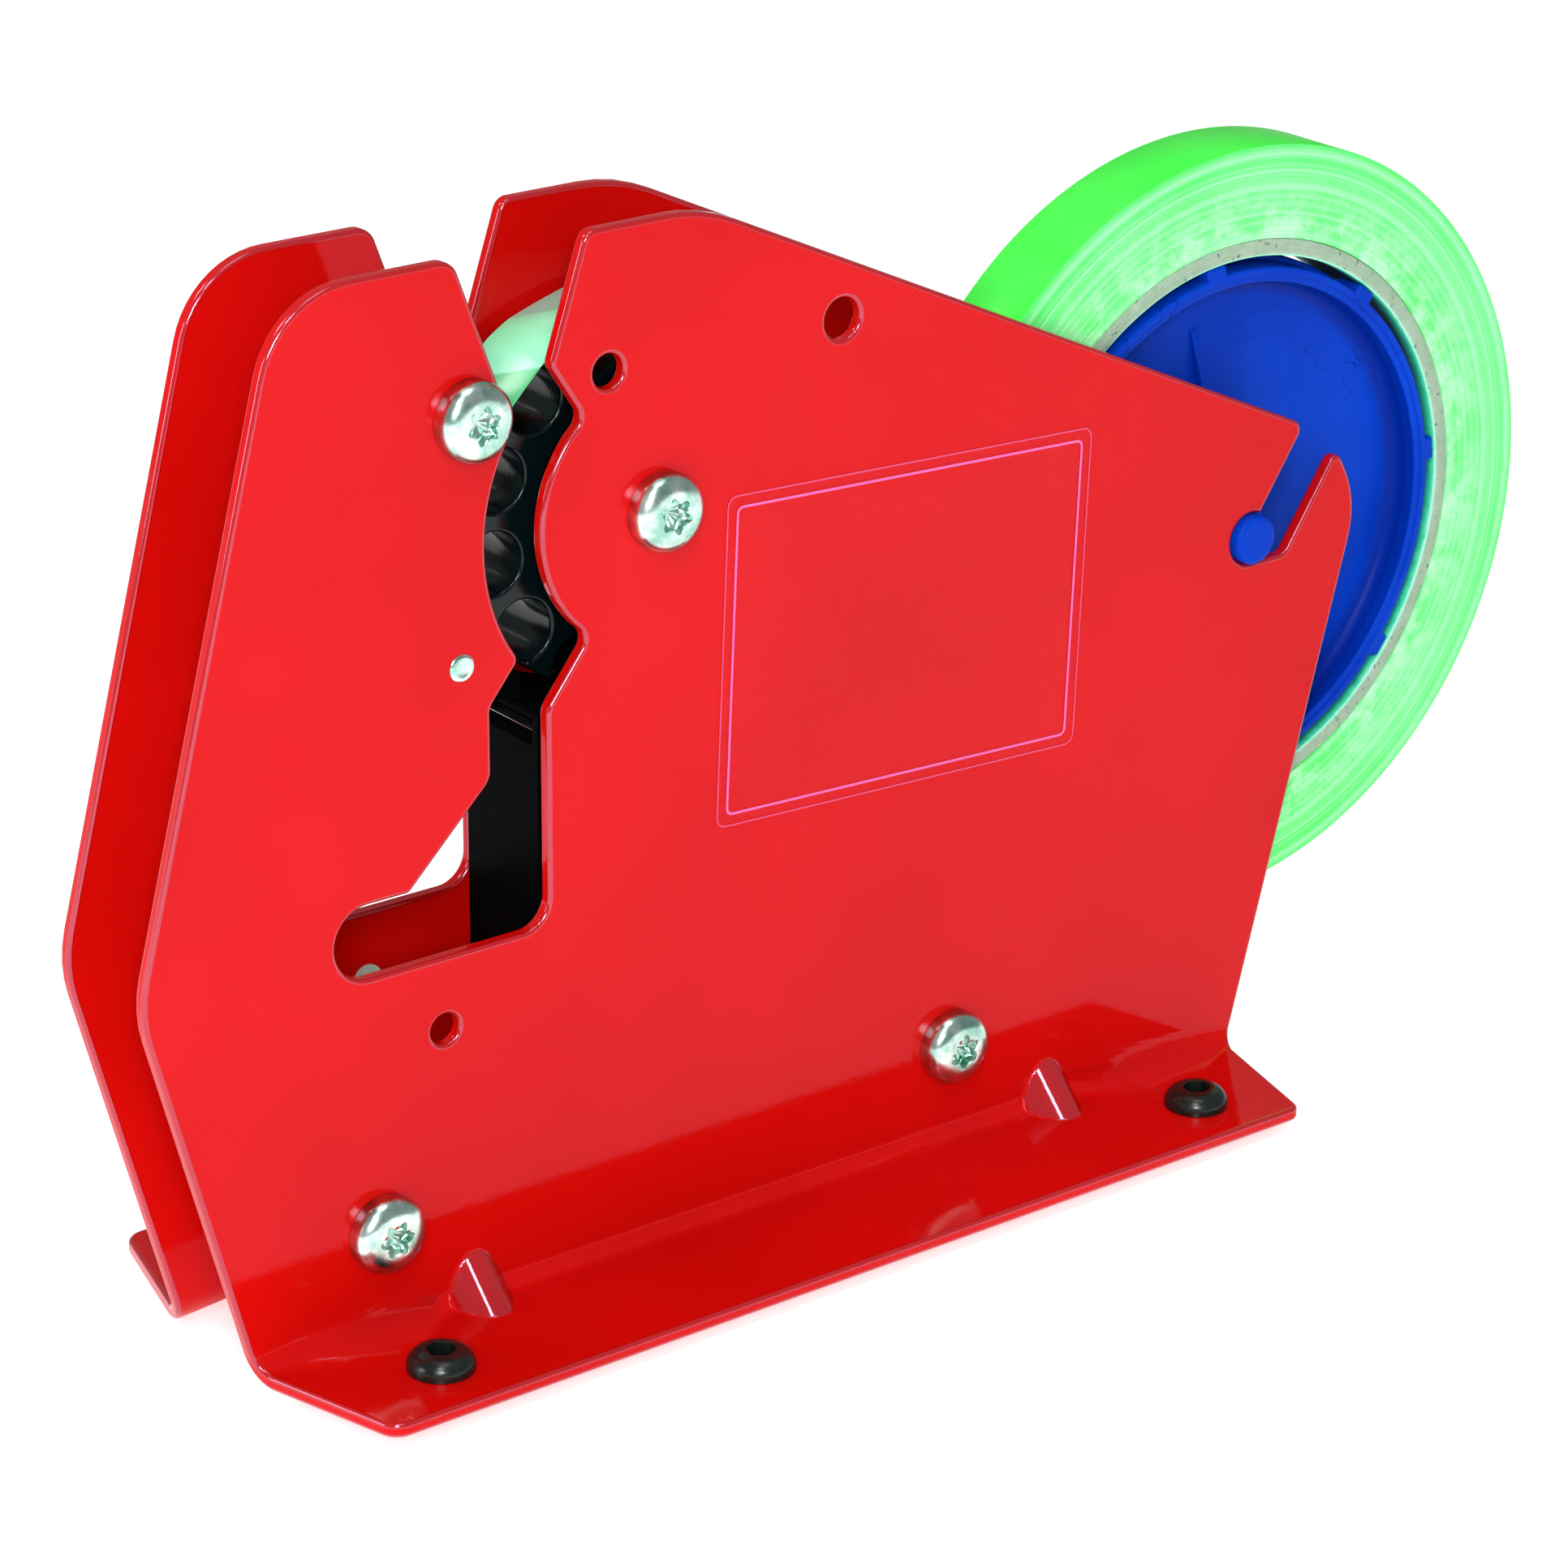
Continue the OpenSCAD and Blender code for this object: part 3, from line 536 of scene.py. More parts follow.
def slab(loops, t, r, fmap, points=(), lines=None, steps=4):
    """A sheet with rounded edges from flat loops: first the outside, then the holes.

    Its flat coordinates (x, s, n), with n from 0 at the top face to t, go through fmap. points
    are added to both caps. lines(boundary, first) gives edges for the caps to keep, where first
    is the index of the first of points. Gives vertices in metres, faces and vertex normals.
    """
    rings = [directed(loops[0])] + [directed(hole, False) for hole in loops[1:]]
    profile = edge_profile(t, r, steps)
    flat, norm, faces, ends = [], [], [], []
    count = 0
    for ring in rings:
        out, mitre = outward(ring)
        n, first = len(ring), count
        for inset, depth, side, along in profile:
            p = ring - out * (inset * mitre)[:, None]
            flat.append(np.column_stack([p, np.full(n, depth)]))
            norm.append(np.column_stack([out * side, np.full(n, along)]))
            count += n
        for k in range(len(profile) - 1):
            upper, lower = first + k * n, first + (k + 1) * n
            for i in range(n):
                j = (i + 1) % n
                faces.append((upper + i, lower + i, lower + j, upper + j))
        ends.append((first, first + (len(profile) - 1) * n, n))
    flat, norm = np.vstack(flat), np.vstack(norm)

    # both caps have the same triangles, made on the top one
    top_ids = np.concatenate([np.arange(a, a + n) for a, _, n in ends])
    low_ids = np.concatenate([np.arange(b, b + n) for _, b, n in ends])
    boundary = flat[top_ids][:, :2]
    every = np.vstack([boundary, np.array(points, float).reshape(-1, 2)])
    edges, base = [], 0
    for _, _, n in ends:
        edges += [(base + i, base + (i + 1) % n) for i in range(n)]
        base += n
    if lines:
        edges += lines(boundary, base)
    found = delaunay_2d_cdt([Vector(p) for p in every], edges, [], 0, 1e-5)
    verts, tris, sources = np.array([tuple(v) for v in found[0]]), found[2], found[3]
    centres = np.array([verts[list(f)].mean(0) for f in tris])
    outline, *holes = (flat[a:a + n][:, :2] for a, _, n in ends)
    kept = inside(centres, outline)
    for hole in holes:
        kept &= ~inside(centres, hole)
    place, fresh = {}, []                     # of each vertex, its index on the top and low cap
    for i, source in enumerate(sources):
        known = [k for k in source if k < len(boundary)]
        if known:
            place[i] = (top_ids[known[0]], low_ids[known[0]])
        else:
            fresh.append(i)
    for k, i in enumerate(fresh):
        place[i] = (count + k, count + len(fresh) + k)
    if fresh:
        for depth, along in ((0.0, -1.0), (t, 1.0)):
            n = len(fresh)
            flat = np.vstack([flat, np.column_stack([verts[fresh], np.full(n, depth)])])
            norm = np.vstack([norm, np.tile((0, 0, along), (n, 1))])
    for (a, b, c), good in zip(tris, kept):
        if good:
            faces.append((place[a][0], place[b][0], place[c][0]))
            faces.append((place[c][1], place[b][1], place[a][1]))

    # carry the points and, by the map's slope, the normals
    pos = fmap(flat)
    h = 0.01
    slope = [(fmap(flat + h * e) - fmap(flat - h * e)) / (2 * h) for e in np.eye(3)]
    to_normal = np.linalg.inv(np.stack(slope, 2)).transpose(0, 2, 1)
    normals = np.einsum("nij,nj->ni", to_normal, norm)
    normals /= np.linalg.norm(normals, axis=1)[:, None]
    a, b, c = (pos[i] for i in faces[-2])
    if np.cross(b - a, c - a) @ normals[faces[-2][0]] < 0:
        faces = [tuple(reversed(q)) for q in faces]
    return pos * MM, faces, normals


def on_wall(x, z, turn_deg=0.0):
    """Gives maps for slab: flat coordinates turned about (x, z), n along Y from y."""
    c, s = math.cos(math.radians(turn_deg)), math.sin(math.radians(turn_deg))

    def at(y):
        def fmap(p):
            return np.column_stack([x + c * p[:, 0] - s * p[:, 1], y + p[:, 2],
                                    z + s * p[:, 0] + c * p[:, 1]])
        return fmap
    return at


def lathe(profile, centre, sign=-1, seg=192):
    """Turns a profile of (r, h) about the Y axis through centre; h grows towards sign * Y."""
    profile = np.array(profile, float)
    n = len(profile)
    verts, faces = [], []
    for i in range(seg):
        c, s = math.cos(2 * math.pi * i / seg), math.sin(2 * math.pi * i / seg)
        verts += [(centre[0] + r * c, sign * h, centre[1] + r * s) for r, h in profile]
        j = (i + 1) % seg
        for k in range(n - 1):
            q = (i * n + k, j * n + k, j * n + k + 1, i * n + k + 1)
            faces.append(q if sign < 0 else tuple(reversed(q)))
    return np.array(verts) * MM, faces


def fillet(profile, r=0.3, steps=4):
    """Rounds every inner corner of an open profile of (r, h) points."""
    out = [profile[0]]
    for corner in zip(profile, profile[1:], profile[2:]):
        p, q, s = (np.array(v, float) for v in corner)
        to_p, to_s = np.linalg.norm(p - q), np.linalg.norm(s - q)
        if to_p < 1e-6 or to_s < 1e-6:
            out.append(tuple(q))
            continue
        d = min(r, to_p * 0.45, to_s * 0.45)
        a, b = q + (p - q) / to_p * d, q + (s - q) / to_s * d
        for i in range(steps + 1):
            t = i / steps
            out.append(tuple((1 - t) ** 2 * a + 2 * t * (1 - t) * q + t * t * b))
    out.append(profile[-1])
    return out


def joined(*parts):
    """Several (verts, faces) as one."""
    verts, faces, base = [], [], 0
    for v, f in parts:
        verts.append(np.asarray(v))
        faces += [tuple(i + base for i in q) for q in f]
        base += len(v)
    return np.vstack(verts), faces


def placed(part, axes, at):
    """part's own x, y, z along the three axes, from at; all in mm, given back in metres."""
    verts, faces = part
    m = np.array(axes, float)
    out = verts @ m + np.array(at)
    if np.linalg.det(m) < 0:
        faces = [tuple(reversed(q)) for q in faces]
    return out * MM, faces


def turned(deg, axes):
    """The axes turned about the third."""
    c, s = math.cos(math.radians(deg)), math.sin(math.radians(deg))
    x, y, z = (np.array(a, float) for a in axes)
    return [c * x + s * y, -s * x + c * y, z]


def box_part(lo, hi, bevel):
    """A box with chamfered edges between two corners, as (verts, faces) in mm."""
    lo, hi = np.array(lo, float), np.array(hi, float)
    centre, half = (lo + hi) / 2, (hi - lo) / 2
    bevel = min(bevel, *(half * 0.45))
    corners = np.array(np.meshgrid((-1, 1), (-1, 1), (-1, 1))).T.reshape(-1, 3)
    verts, index = [], {}
    for s in corners:
        for axis in range(3):
            p = s * (half - bevel)
            p[axis] = s[axis] * half[axis]
            index[(*s, axis)] = len(verts)
            verts.append(centre + p)
    faces = []
    for axis in range(3):
        u, v = (axis + 1) % 3, (axis + 2) % 3

        def corner(along, at_u, at_v, owner):
            k = [0, 0, 0]
            k[axis], k[u], k[v] = along, at_u, at_v
            return index[(*k, owner)]

        for s in (-1, 1):
            q = [corner(s, a, b, axis) for a, b in ((-1, -1), (1, -1), (1, 1), (-1, 1))]
            faces.append(tuple(q if s > 0 else reversed(q)))
        for a in (-1, 1):
            for b in (-1, 1):
                q = (corner(-1, a, b, u), corner(1, a, b, u), corner(1, a, b, v),
                     corner(-1, a, b, v))
                faces.append(tuple(q if a * b > 0 else reversed(q)))
    for s in corners:
        q = tuple(index[(*s, axis)] for axis in range(3))
        faces.append(q if s[0] * s[1] * s[2] > 0 else tuple(reversed(q)))
    return np.array(verts), faces


# ---------- side plates ----------

# GAP: the walls' inner faces from the middle. BEND: the fold's radius on its hollow side.
SHEET, GAP, BEND, FLANGE_Y = 2.0, 7.8, 2.5, 32.0
OUT_Y = GAP + SHEET
FOLD = (BEND + SHEET / 2) * math.pi / 2       # flat length of the fold
FOLD_Z = BEND + SHEET                         # where the wall turns straight, over the underside
FOLD_STEPS = 8
EDGE_STEPS = 4
BOLTS_X, BOLT_Y, BOLT_HOLE_R = (-82.6, 43.4), FLANGE_Y - 9.2, 2.6
SPARE_HOLES = [(-46.8, 121.5, 4.4), (-10.6, 121.7, 5.5)]      # x, height, diameter
LOW_HOLE = (-72.3, 40.6, 4.1)
DARTS = [-68.6, 26.9]
DART_REACH, DART_DROP, DART_FLAT, DART_HALF = 4.6, 3.5, 0.6, 3.7


def plate_outline():
    """The flat sheet: x against s, which is 0 where the wall meets the fold and grows upwards."""
    rear_r, front_r = 18.1, 26.2              # the throat's arcs about the wheel
    slant = math.radians(56.2)                # of the reel's slot
    slot_w, pin_r = 7.24, 3.65
    foot = (REEL_AT[0] + slot_w * math.sin(slant), REEL_AT[1] - slot_w * math.cos(slant))

    def horn(t):
        return (foot[0] + t * math.cos(slant), foot[1] + t * math.sin(slant))

    front = arc(WHEEL_AT, front_r, 146, 215)
    rear = arc(WHEEL_AT, rear_r, 232.8, 129.4)
    # the front lobe and the throat down to its slot
    c = [(-115.896, 54.3, 17), (-93.8, 139.4, 13), (-69.2, 139.4, 3)]
    c += [(*front[0], 1.8)] + [(*p, 0) for p in arc(WHEEL_AT, front_r, 152, 209)]
    c += [(-60.4, 87.2, 1.5), (-64.8, 81.8, 2), (-64.8, 72.4, 3), (-77.2, 60.3, 1),
          (-88.1, 60.3, 4.89), (-88.1, 50.5, 4.89), (-56.4, 50.5, 4), (-56.4, 79.6, 3)]
    # up the throat's rear, over the top and into the reel's slot
    c += [(*rear[0], 2)] + [(*p, 0) for p in arc(WHEEL_AT, rear_r, 222.8, 139.4)]
    c += [(*rear[-1], 2)]
    c += [(-55.4, 123.7, 1.5), (-50, 139.7, 2), (-32.4, 139.7, 25), (70.6, 92.3, 1.6)]
    c += [(*p, 0) for p in arc(REEL_AT, pin_r, 65, 285)]
    c += [(*horn(0.6), 1.6), (*horn(17), 1.3), (81.6, 79.4, 14)]
    c = [(x, z - FOLD_Z, r) for x, z, r in c]

    # through the fold to the flange and back
    def fold_edge(x_from, x_to, levels):
        return [(x_from + (x_to - x_from) * i / FOLD_STEPS, s, 0) for i, s in enumerate(levels)]

    taper = math.tan(math.radians(15))        # of the flange's ends
    flat_y = FLANGE_Y - OUT_Y
    end = -FOLD - (flat_y - BEND)
    levels = [-FOLD * i / FOLD_STEPS for i in range(FOLD_STEPS + 1)]
    rear_x, front_x, front_wall_x = 60.6, -101.5, -101.1
    wall_x, flat_x = rear_x + FOLD_Z * 21.0 / 79.4, rear_x - BEND * taper
    c += fold_edge(wall_x, flat_x, levels)
    c += [(rear_x - flat_y * taper, end, 2), (front_x + flat_y * taper, end, 3)]
    wall_x, flat_x = front_wall_x - FOLD_Z * 14.8 / 54.3, front_x + BEND * taper
    c += fold_edge(flat_x, wall_x, levels[::-1])
    return rounded(c)


def dart_crest(x, dart_x):
    """How far a pressed dart stands out of the corner, at x."""
    off = np.maximum(np.abs(x - dart_x) - DART_FLAT, 0) / DART_HALF
    return DART_REACH - DART_DROP * off ** 1.8


def plate_map(side):
    """Folds the flat sheet and presses the darts into the fold."""
    def fmap(p):
        x, s, n = p[:, 0], p[:, 1], p[:, 2]
        turn = np.clip(-s / FOLD, 0, 1) * math.pi / 2
        beyond = np.maximum(-s - FOLD, 0)
        up = np.maximum(s, 0)

        def folded(depth):
            y = OUT_Y + BEND - (BEND + depth) * np.cos(turn) + beyond
            z = FOLD_Z - (BEND + depth) * np.sin(turn) + up
            return y, z

        y, z = folded(n)
        top_y, top_z = folded(np.zeros_like(n))
        out_of_corner = ((top_y - OUT_Y) + (top_z - SHEET)) / math.sqrt(2)
        for dart_x in DARTS:
            d, k = dart_crest(x, dart_x) - out_of_corner, 0.3       # k softens the dart's edge
            push = np.where(d < -k, 0, np.where(d > k, d, (d + k) ** 2 / (4 * k)))
            y, z = y + push / math.sqrt(2), z + push / math.sqrt(2)
        return np.column_stack([x, side * y, z + FOOT_H])
    return fmap


def plate(name, side, mats, holes):
    """One folded plate. Its rounded edges and the darts' flanks take the second material."""
    loops = [plate_outline()] + [circle((x, z - FOLD_Z), d / 2, 48) for x, z, d in holes]
    bolt_s = -FOLD - (BOLT_Y - OUT_Y - BEND)
    loops += [circle((x, bolt_s), BOLT_HOLE_R, 32) for x in BOLTS_X]

    # a fine grid round each dart, and lines across the sheet through the fold
    pitch = 0.45
    levels = [-FOLD * i / FOLD_STEPS for i in range(1, FOLD_STEPS)]
    rows = [pitch * i for i in range(12)] + levels + [-FOLD - pitch * i for i in range(14)]
    rows.sort()
    columns = np.arange(-5.6, 5.61, 0.4)
    points, starts = [], []
    for dart_x in DARTS:
        starts.append(len(points))
        points += [(dart_x + c, s) for s in rows for c in columns]

    def lines(boundary, first):
        edges = []
        for level in [0.0] + levels + [-FOLD]:
            near = np.where(np.abs(boundary[:, 1] - level) < 0.12)[0]
            if len(near) < 2:
                continue
            row = int(np.argmin([abs(s - level) for s in rows]))
            chain = [near[np.argmin(boundary[near, 0])]]
            for start in starts:
                left = first + start + row * len(columns)
                chain += [left, left + len(columns) - 1]
            chain.append(near[np.argmax(boundary[near, 0])])
            edges += [(chain[0], chain[1]), (chain[2], chain[3]), (chain[4], chain[5])]
        return edges

    verts, faces, normals = slab(loops, SHEET, 0.6, plate_map(side), points, lines, EDGE_STEPS)
    slots = []
    for loop in loops:
        for k in range(2 * EDGE_STEPS + 1):
            slots += [int(k != EDGE_STEPS)] * len(directed(loop))
    x, y, z = verts.T / MM
    rise = (np.abs(y) - OUT_Y + z - FOOT_H - SHEET) / math.sqrt(2)
    pressed = np.zeros(len(verts), bool)
    for dart_x in DARTS:
        flank = np.abs(rise - dart_crest(x, dart_x)) < 0.12
        pressed |= (np.abs(x - dart_x) < DART_FLAT + DART_HALF) & flank
    slots += [int(all(pressed[i] for i in q)) for q in faces[len(slots):]]
    o = add_mesh(name, verts, faces, mats, normals, slots)
    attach(o, "frame")
    return o


# ---------- screws and pins ----------

SCREWS = [(-67.4, 119.4), WHEEL_AT, (-82.3, 15.6), (9.5, 15.8)]
SIDE_HEAD = dict(d=10.3, h=3.4, recess=2.4, star=True, flat=0.25, rim=0.38)
FOOT_HEAD = dict(d=8.8, h=2.75, recess=2.0, star=False, flat=0.235, rim=0.22)
SHANK_R, SIDE_SHANK, FOOT_SHANK = 2.45, (-7.8, 0.1), (-3.9, 0.1)      # radius, and from and to


def screw_head(d, h, recess, star, flat, rim, depth=1.9, seg=72):
    """A domed head from z = 0, with a star or hexagonal recess of outer radius recess.

    flat is the flat top's radius over d, and rim the straight side's height over h.
    """
    half, flat_r = d / 2, d * flat
    angles = [2 * math.pi * i / seg for i in range(seg)]
    rings = []

    def ring(radius, z):
        rings.append([(radius(a) * math.cos(a), radius(a) * math.sin(a), z) for a in angles])

    def hole(a):
        if star:
            return recess * (0.83 + 0.17 * math.cos(6 * a))
        t = (a + math.pi / 6) % (math.pi / 3) - math.pi / 6
        return recess * math.cos(math.pi / 6) / math.cos(t)

    ring(lambda a: half - 0.15, 0)
    ring(lambda a: half, 0.12)
    ring(lambda a: half, h * rim)
    for t in range(8, 91, 6):
        c, s = math.cos(math.radians(t)), math.sin(math.radians(t))
        ring(lambda a, c=c: flat_r + (half - flat_r) * c, h * (rim + (1 - rim) * s))
    ring(lambda a: (flat_r + hole(a)) / 2 + 0.1, h)
    for extra, drop in ((0.12, 0.0), (0.03, 0.05), (0.0, 0.15)):
        ring(lambda a, extra=extra: hole(a) + extra, h - drop)
    ring(lambda a: hole(a) * 0.985, h - depth)
    ring(lambda a: hole(a) * 0.5, h - depth - 0.25)
    verts = [p for r in rings for p in r] + [(0, 0, h - depth - 0.5)]
    faces = []
    for k in range(len(rings) - 1):
        for i in range(seg):
            j = (i + 1) % seg
            faces.append((k * seg + i, k * seg + j, (k + 1) * seg + j, (k + 1) * seg + i))
    last, tip = (len(rings) - 1) * seg, len(verts) - 1
    faces += [(last + i, last + (i + 1) % seg, tip) for i in range(seg)]
    faces.append(tuple(range(seg - 1, -1, -1)))
    return np.array(verts), faces


def shank(z0, z1, seg=24):
    verts, faces = [], []
    for z in (z0, z1):
        verts += [(x, y, z) for x, y in circle((0, 0), SHANK_R, seg)]
    for i in range(seg):
        j = (i + 1) % seg
        faces.append((i, j, seg + j, seg + i))
    faces += [tuple(range(seg - 1, -1, -1)), tuple(range(seg, 2 * seg))]
    return np.array(verts), faces


def side_screws(name, side, mat, node):
    parts = []
    for i, (x, z) in enumerate(SCREWS):
        axes = turned(17 + 23 * i, [(1, 0, 0), (0, 0, 1), (0, side, 0)])
        at = (x, side * OUT_Y, z + FOOT_H)
        parts.append(placed(screw_head(**SIDE_HEAD), axes, at))
        parts.append(placed(shank(*SIDE_SHANK), axes, at))
    o = add_mesh(name, *joined(*parts), mat, sharp=32)
    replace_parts(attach(o, "frame"), node)


def foot_bolts(mat):
    parts = []
    for x in BOLTS_X:
        for side in (-1, 1):
            axes = turned(12 + x, [(1, 0, 0), (0, 1, 0), (0, 0, 1)])
            at = (x, side * BOLT_Y, FOOT_H + SHEET)
            parts.append(placed(screw_head(**FOOT_HEAD), axes, at))
            parts.append(placed(shank(*FOOT_SHANK), axes, at))
    feet = add_mesh("foot_bolts", *joined(*parts), mat, sharp=32)
    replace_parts(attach(feet, "frame"), "foot_screws")


def pivot_pin(mat):
    """The arm's pin, its riveted ends domed and a little smaller than their holes."""
    half, r, end = OUT_Y + 0.28, 2.0, 1.78
    upper = [(0.0, half - 0.12), (end * 0.55, half - 0.12), (end * 0.68, half),
             (end * 0.86, half - 0.03), (end, half - 0.25), (end, OUT_Y - 0.9), (r, OUT_Y - 1.1)]
    profile = upper + [(x, -h) for x, h in reversed(upper)]
    v, f = lathe(profile, ARM, -1, 48)
    o = add_mesh("pivot_pin", v, f, mat, sharp=40)
    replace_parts(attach(o, "frame"), "arm_pivot_pin")


# ---------- wheel ----------

POCKETS, FIRST_POCKET = 13, 135               # their number, and one pocket's angle
POCKET_PITCH = 360 / POCKETS


def wheel_outline():
    """The rim with half-round pockets and rounded lips."""
    rim_r, pocket_r, pocket_at = 25.0, 4.1, 22.2
    cos_mouth = (rim_r * rim_r + pocket_at * pocket_at - pocket_r * pocket_r)
    mouth = math.degrees(math.acos(cos_mouth / (2 * rim_r * pocket_at)))     # half its angle
    loop = []
    for i in range(POCKETS):
        middle = FIRST_POCKET + i * POCKET_PITCH
        c = polar(pocket_at, middle)
        p1, p2 = polar(rim_r, middle - mouth), polar(rim_r, middle + mouth)
        start = math.degrees(math.atan2(p1[1] - c[1], p1[0] - c[0]))
        end = math.degrees(math.atan2(p2[1] - c[1], p2[0] - c[0]))
        while end > start:
            end -= 360
        after = middle + POCKET_PITCH - mouth
        loop += [(x, y, 0) for x, y in arc(c, pocket_r, start - 6, end + 6, 5)]
        loop += [(*p2, 0.3)]
        loop += [(x, y, 0) for x, y in arc((0, 0), rim_r, middle + mouth + 2, after - 2, 2)]
        loop += [(*polar(rim_r, after), 0.3)]
    return rounded(loop, 20)


def star_wheel(mat):
    """Rim, web and hub. The rim's middle lies 1 mm towards the far plate, as in the solid."""
    axle_r, hub_r, web_r, rim_bore_r = 4.05, 7.5, 15.5, 15.4
    holes, hole_r, hole_at = 6, 1.9, 11.45
    at = on_wall(*WHEEL)
    axle = circle((0, 0), axle_r, 48)
    round_holes = [circle(polar(hole_at, 360 / holes * i), hole_r, 32) for i in range(holes)]
    made = []
    for name, loops, width, edge, y in (
            ("wheel_rim", [wheel_outline(), circle((0, 0), rim_bore_r, 96)], 12.0, 0.5, -5.0),
            ("wheel_web", [circle((0, 0), web_r, 96), *round_holes, axle], 3.4, 0.25, -0.7),
            ("wheel_hub", [circle((0, 0), hub_r, 64), axle], 15.2, 0.5, -7.6)):
        v, f, normals = slab(loops, width, edge, at(y))
        made.append(add_mesh(name, v, f, mat, normals))
    for o in made:
        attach(o, "wheel")
    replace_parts(made[0], "star_wheel")


# ---------- reel ----------


def roll(side_mat, face_mat, card_mat, bore_mat):
    """The tape's winding with uneven turns on its sides, and the card core inside it."""
    rng = np.random.default_rng(7)
    inner, outer, half_w = 41.15, 54.05, 6.0
    turns, seg = 44, 256
    radii = np.linspace(inner, outer - 0.25, turns) + 0.02
    near = half_w - 0.06 + 0.05 * rng.uniform(-1, 1, turns)
    near[-1] = half_w - 0.1
    far = half_w - 0.06 + 0.05 * rng.uniform(-1, 1, turns)
    profile = [(inner, -half_w + 0.1), (inner, half_w - 0.15), *zip(radii, near),
               (outer - 0.08, half_w - 0.16), (outer, half_w - 0.3),
               (outer, -half_w + 0.3), (outer - 0.08, -half_w + 0.16),
               *[(r, -h) for r, h in reversed(list(zip(radii, far)))], (inner, -half_w + 0.1)]
    v, f = lathe(profile, REEL, -1, seg)
    slots = [int(min(a[0], b[0]) > outer - 0.2) for a, b in zip(profile, profile[1:])] * seg
    o = add_mesh("tape_winding", v, f, [side_mat, face_mat], slots=slots, sharp=30)
    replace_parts(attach(o, "reel"), "tape_roll")
    bore, middle, card_r, seg = 38.7, 39.9, 41.1, 192
    profile = fillet([(bore, 0), (bore, 5.85), (middle, 5.93), (card_r, 5.8), (card_r, -5.8),
                      (middle, -5.93), (bore, -5.85), (bore, 0)], 0.25)
    v, f = lathe(profile, REEL, -1, seg)
    slots = [int(max(a[0], b[0]) < bore + 0.3) for a, b in zip(profile, profile[1:])] * seg
    o = add_mesh("card_core", v, f, [card_mat, bore_mat], slots=slots, sharp=40)
    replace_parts(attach(o, "reel"), "roll_core")


def hub_half(name, side, mat, node):
    """Web, pin and rim in one turned profile, with lugs on the rim and two ribs on the web.

    The far half is the near one mirrored, so angles stay the same.
    """
    x, z = REEL
    web, depth, back = 1.2, 5.9, 0.02         # the web's face, the rim's face, the web's back
    hub_r, rim, flange_r = 37.1, 2.1, 37.9
    inner, bend, step = hub_r - rim, 2.6, 0.3
    pin_r, pin_end, boss_r, boss_end = 3.5, 11.0, 4.8, 7.2
    lugs, lug_r, lug_half_w, lug_depth = 8, 38.5, 1.7, 5.0
    rib_r, rib_half_w, rib_rise = 29.0, 0.6, 4.6
    corner = [(inner - bend + bend * math.sin(math.radians(t)),
               web + bend - bend * math.cos(math.radians(t))) for t in range(0, 91, 10)]
    profile = [(0.0, pin_end), (pin_r - 0.5, pin_end), (pin_r, pin_end - 0.4), (pin_r, boss_end),
               (boss_r, boss_end), (boss_r, web), *corner,
               (inner, depth - step), (inner + 1.0, depth - step), (inner + 1.0, depth),
               (hub_r, depth), (hub_r, web), (flange_r, web), (flange_r, back), (0.0, back)]
    parts = [lathe(fillet(profile, 0.35), REEL, side, 192)]

    def spoke(part, deg):
        c, s = math.cos(math.radians(deg)), math.sin(math.radians(deg))
        parts.append(placed(part, ((c, 0, s), (-s, 0, c), (0, side, 0)), (x, 0, z)))

    lug = box_part((hub_r - 0.6, -lug_half_w, depth - lug_depth), (lug_r, lug_half_w, depth), 0.35)
    for i in range(lugs):
        spoke(lug, 7 + 360 / lugs * i)
    shape = [(4.0, 0.4), (rib_r, 0.4), (rib_r, web + 0.15), (5.2, web + rib_rise),
             (4.0, web + rib_rise)]
    verts = np.array([(r, y, h) for y in (-rib_half_w, rib_half_w) for r, h in shape])
    n = len(shape)
    faces = [tuple(range(n)), tuple(range(2 * n - 1, n - 1, -1))]
    faces += [(i, n + i, n + (i + 1) % n, (i + 1) % n) for i in range(n)]
    for deg in (99, 279):
        spoke((verts, faces), deg)
    o = add_mesh(name, *joined(*parts), mat, sharp=32)
    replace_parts(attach(o, "reel"), node)


# ---------- tape and label ----------


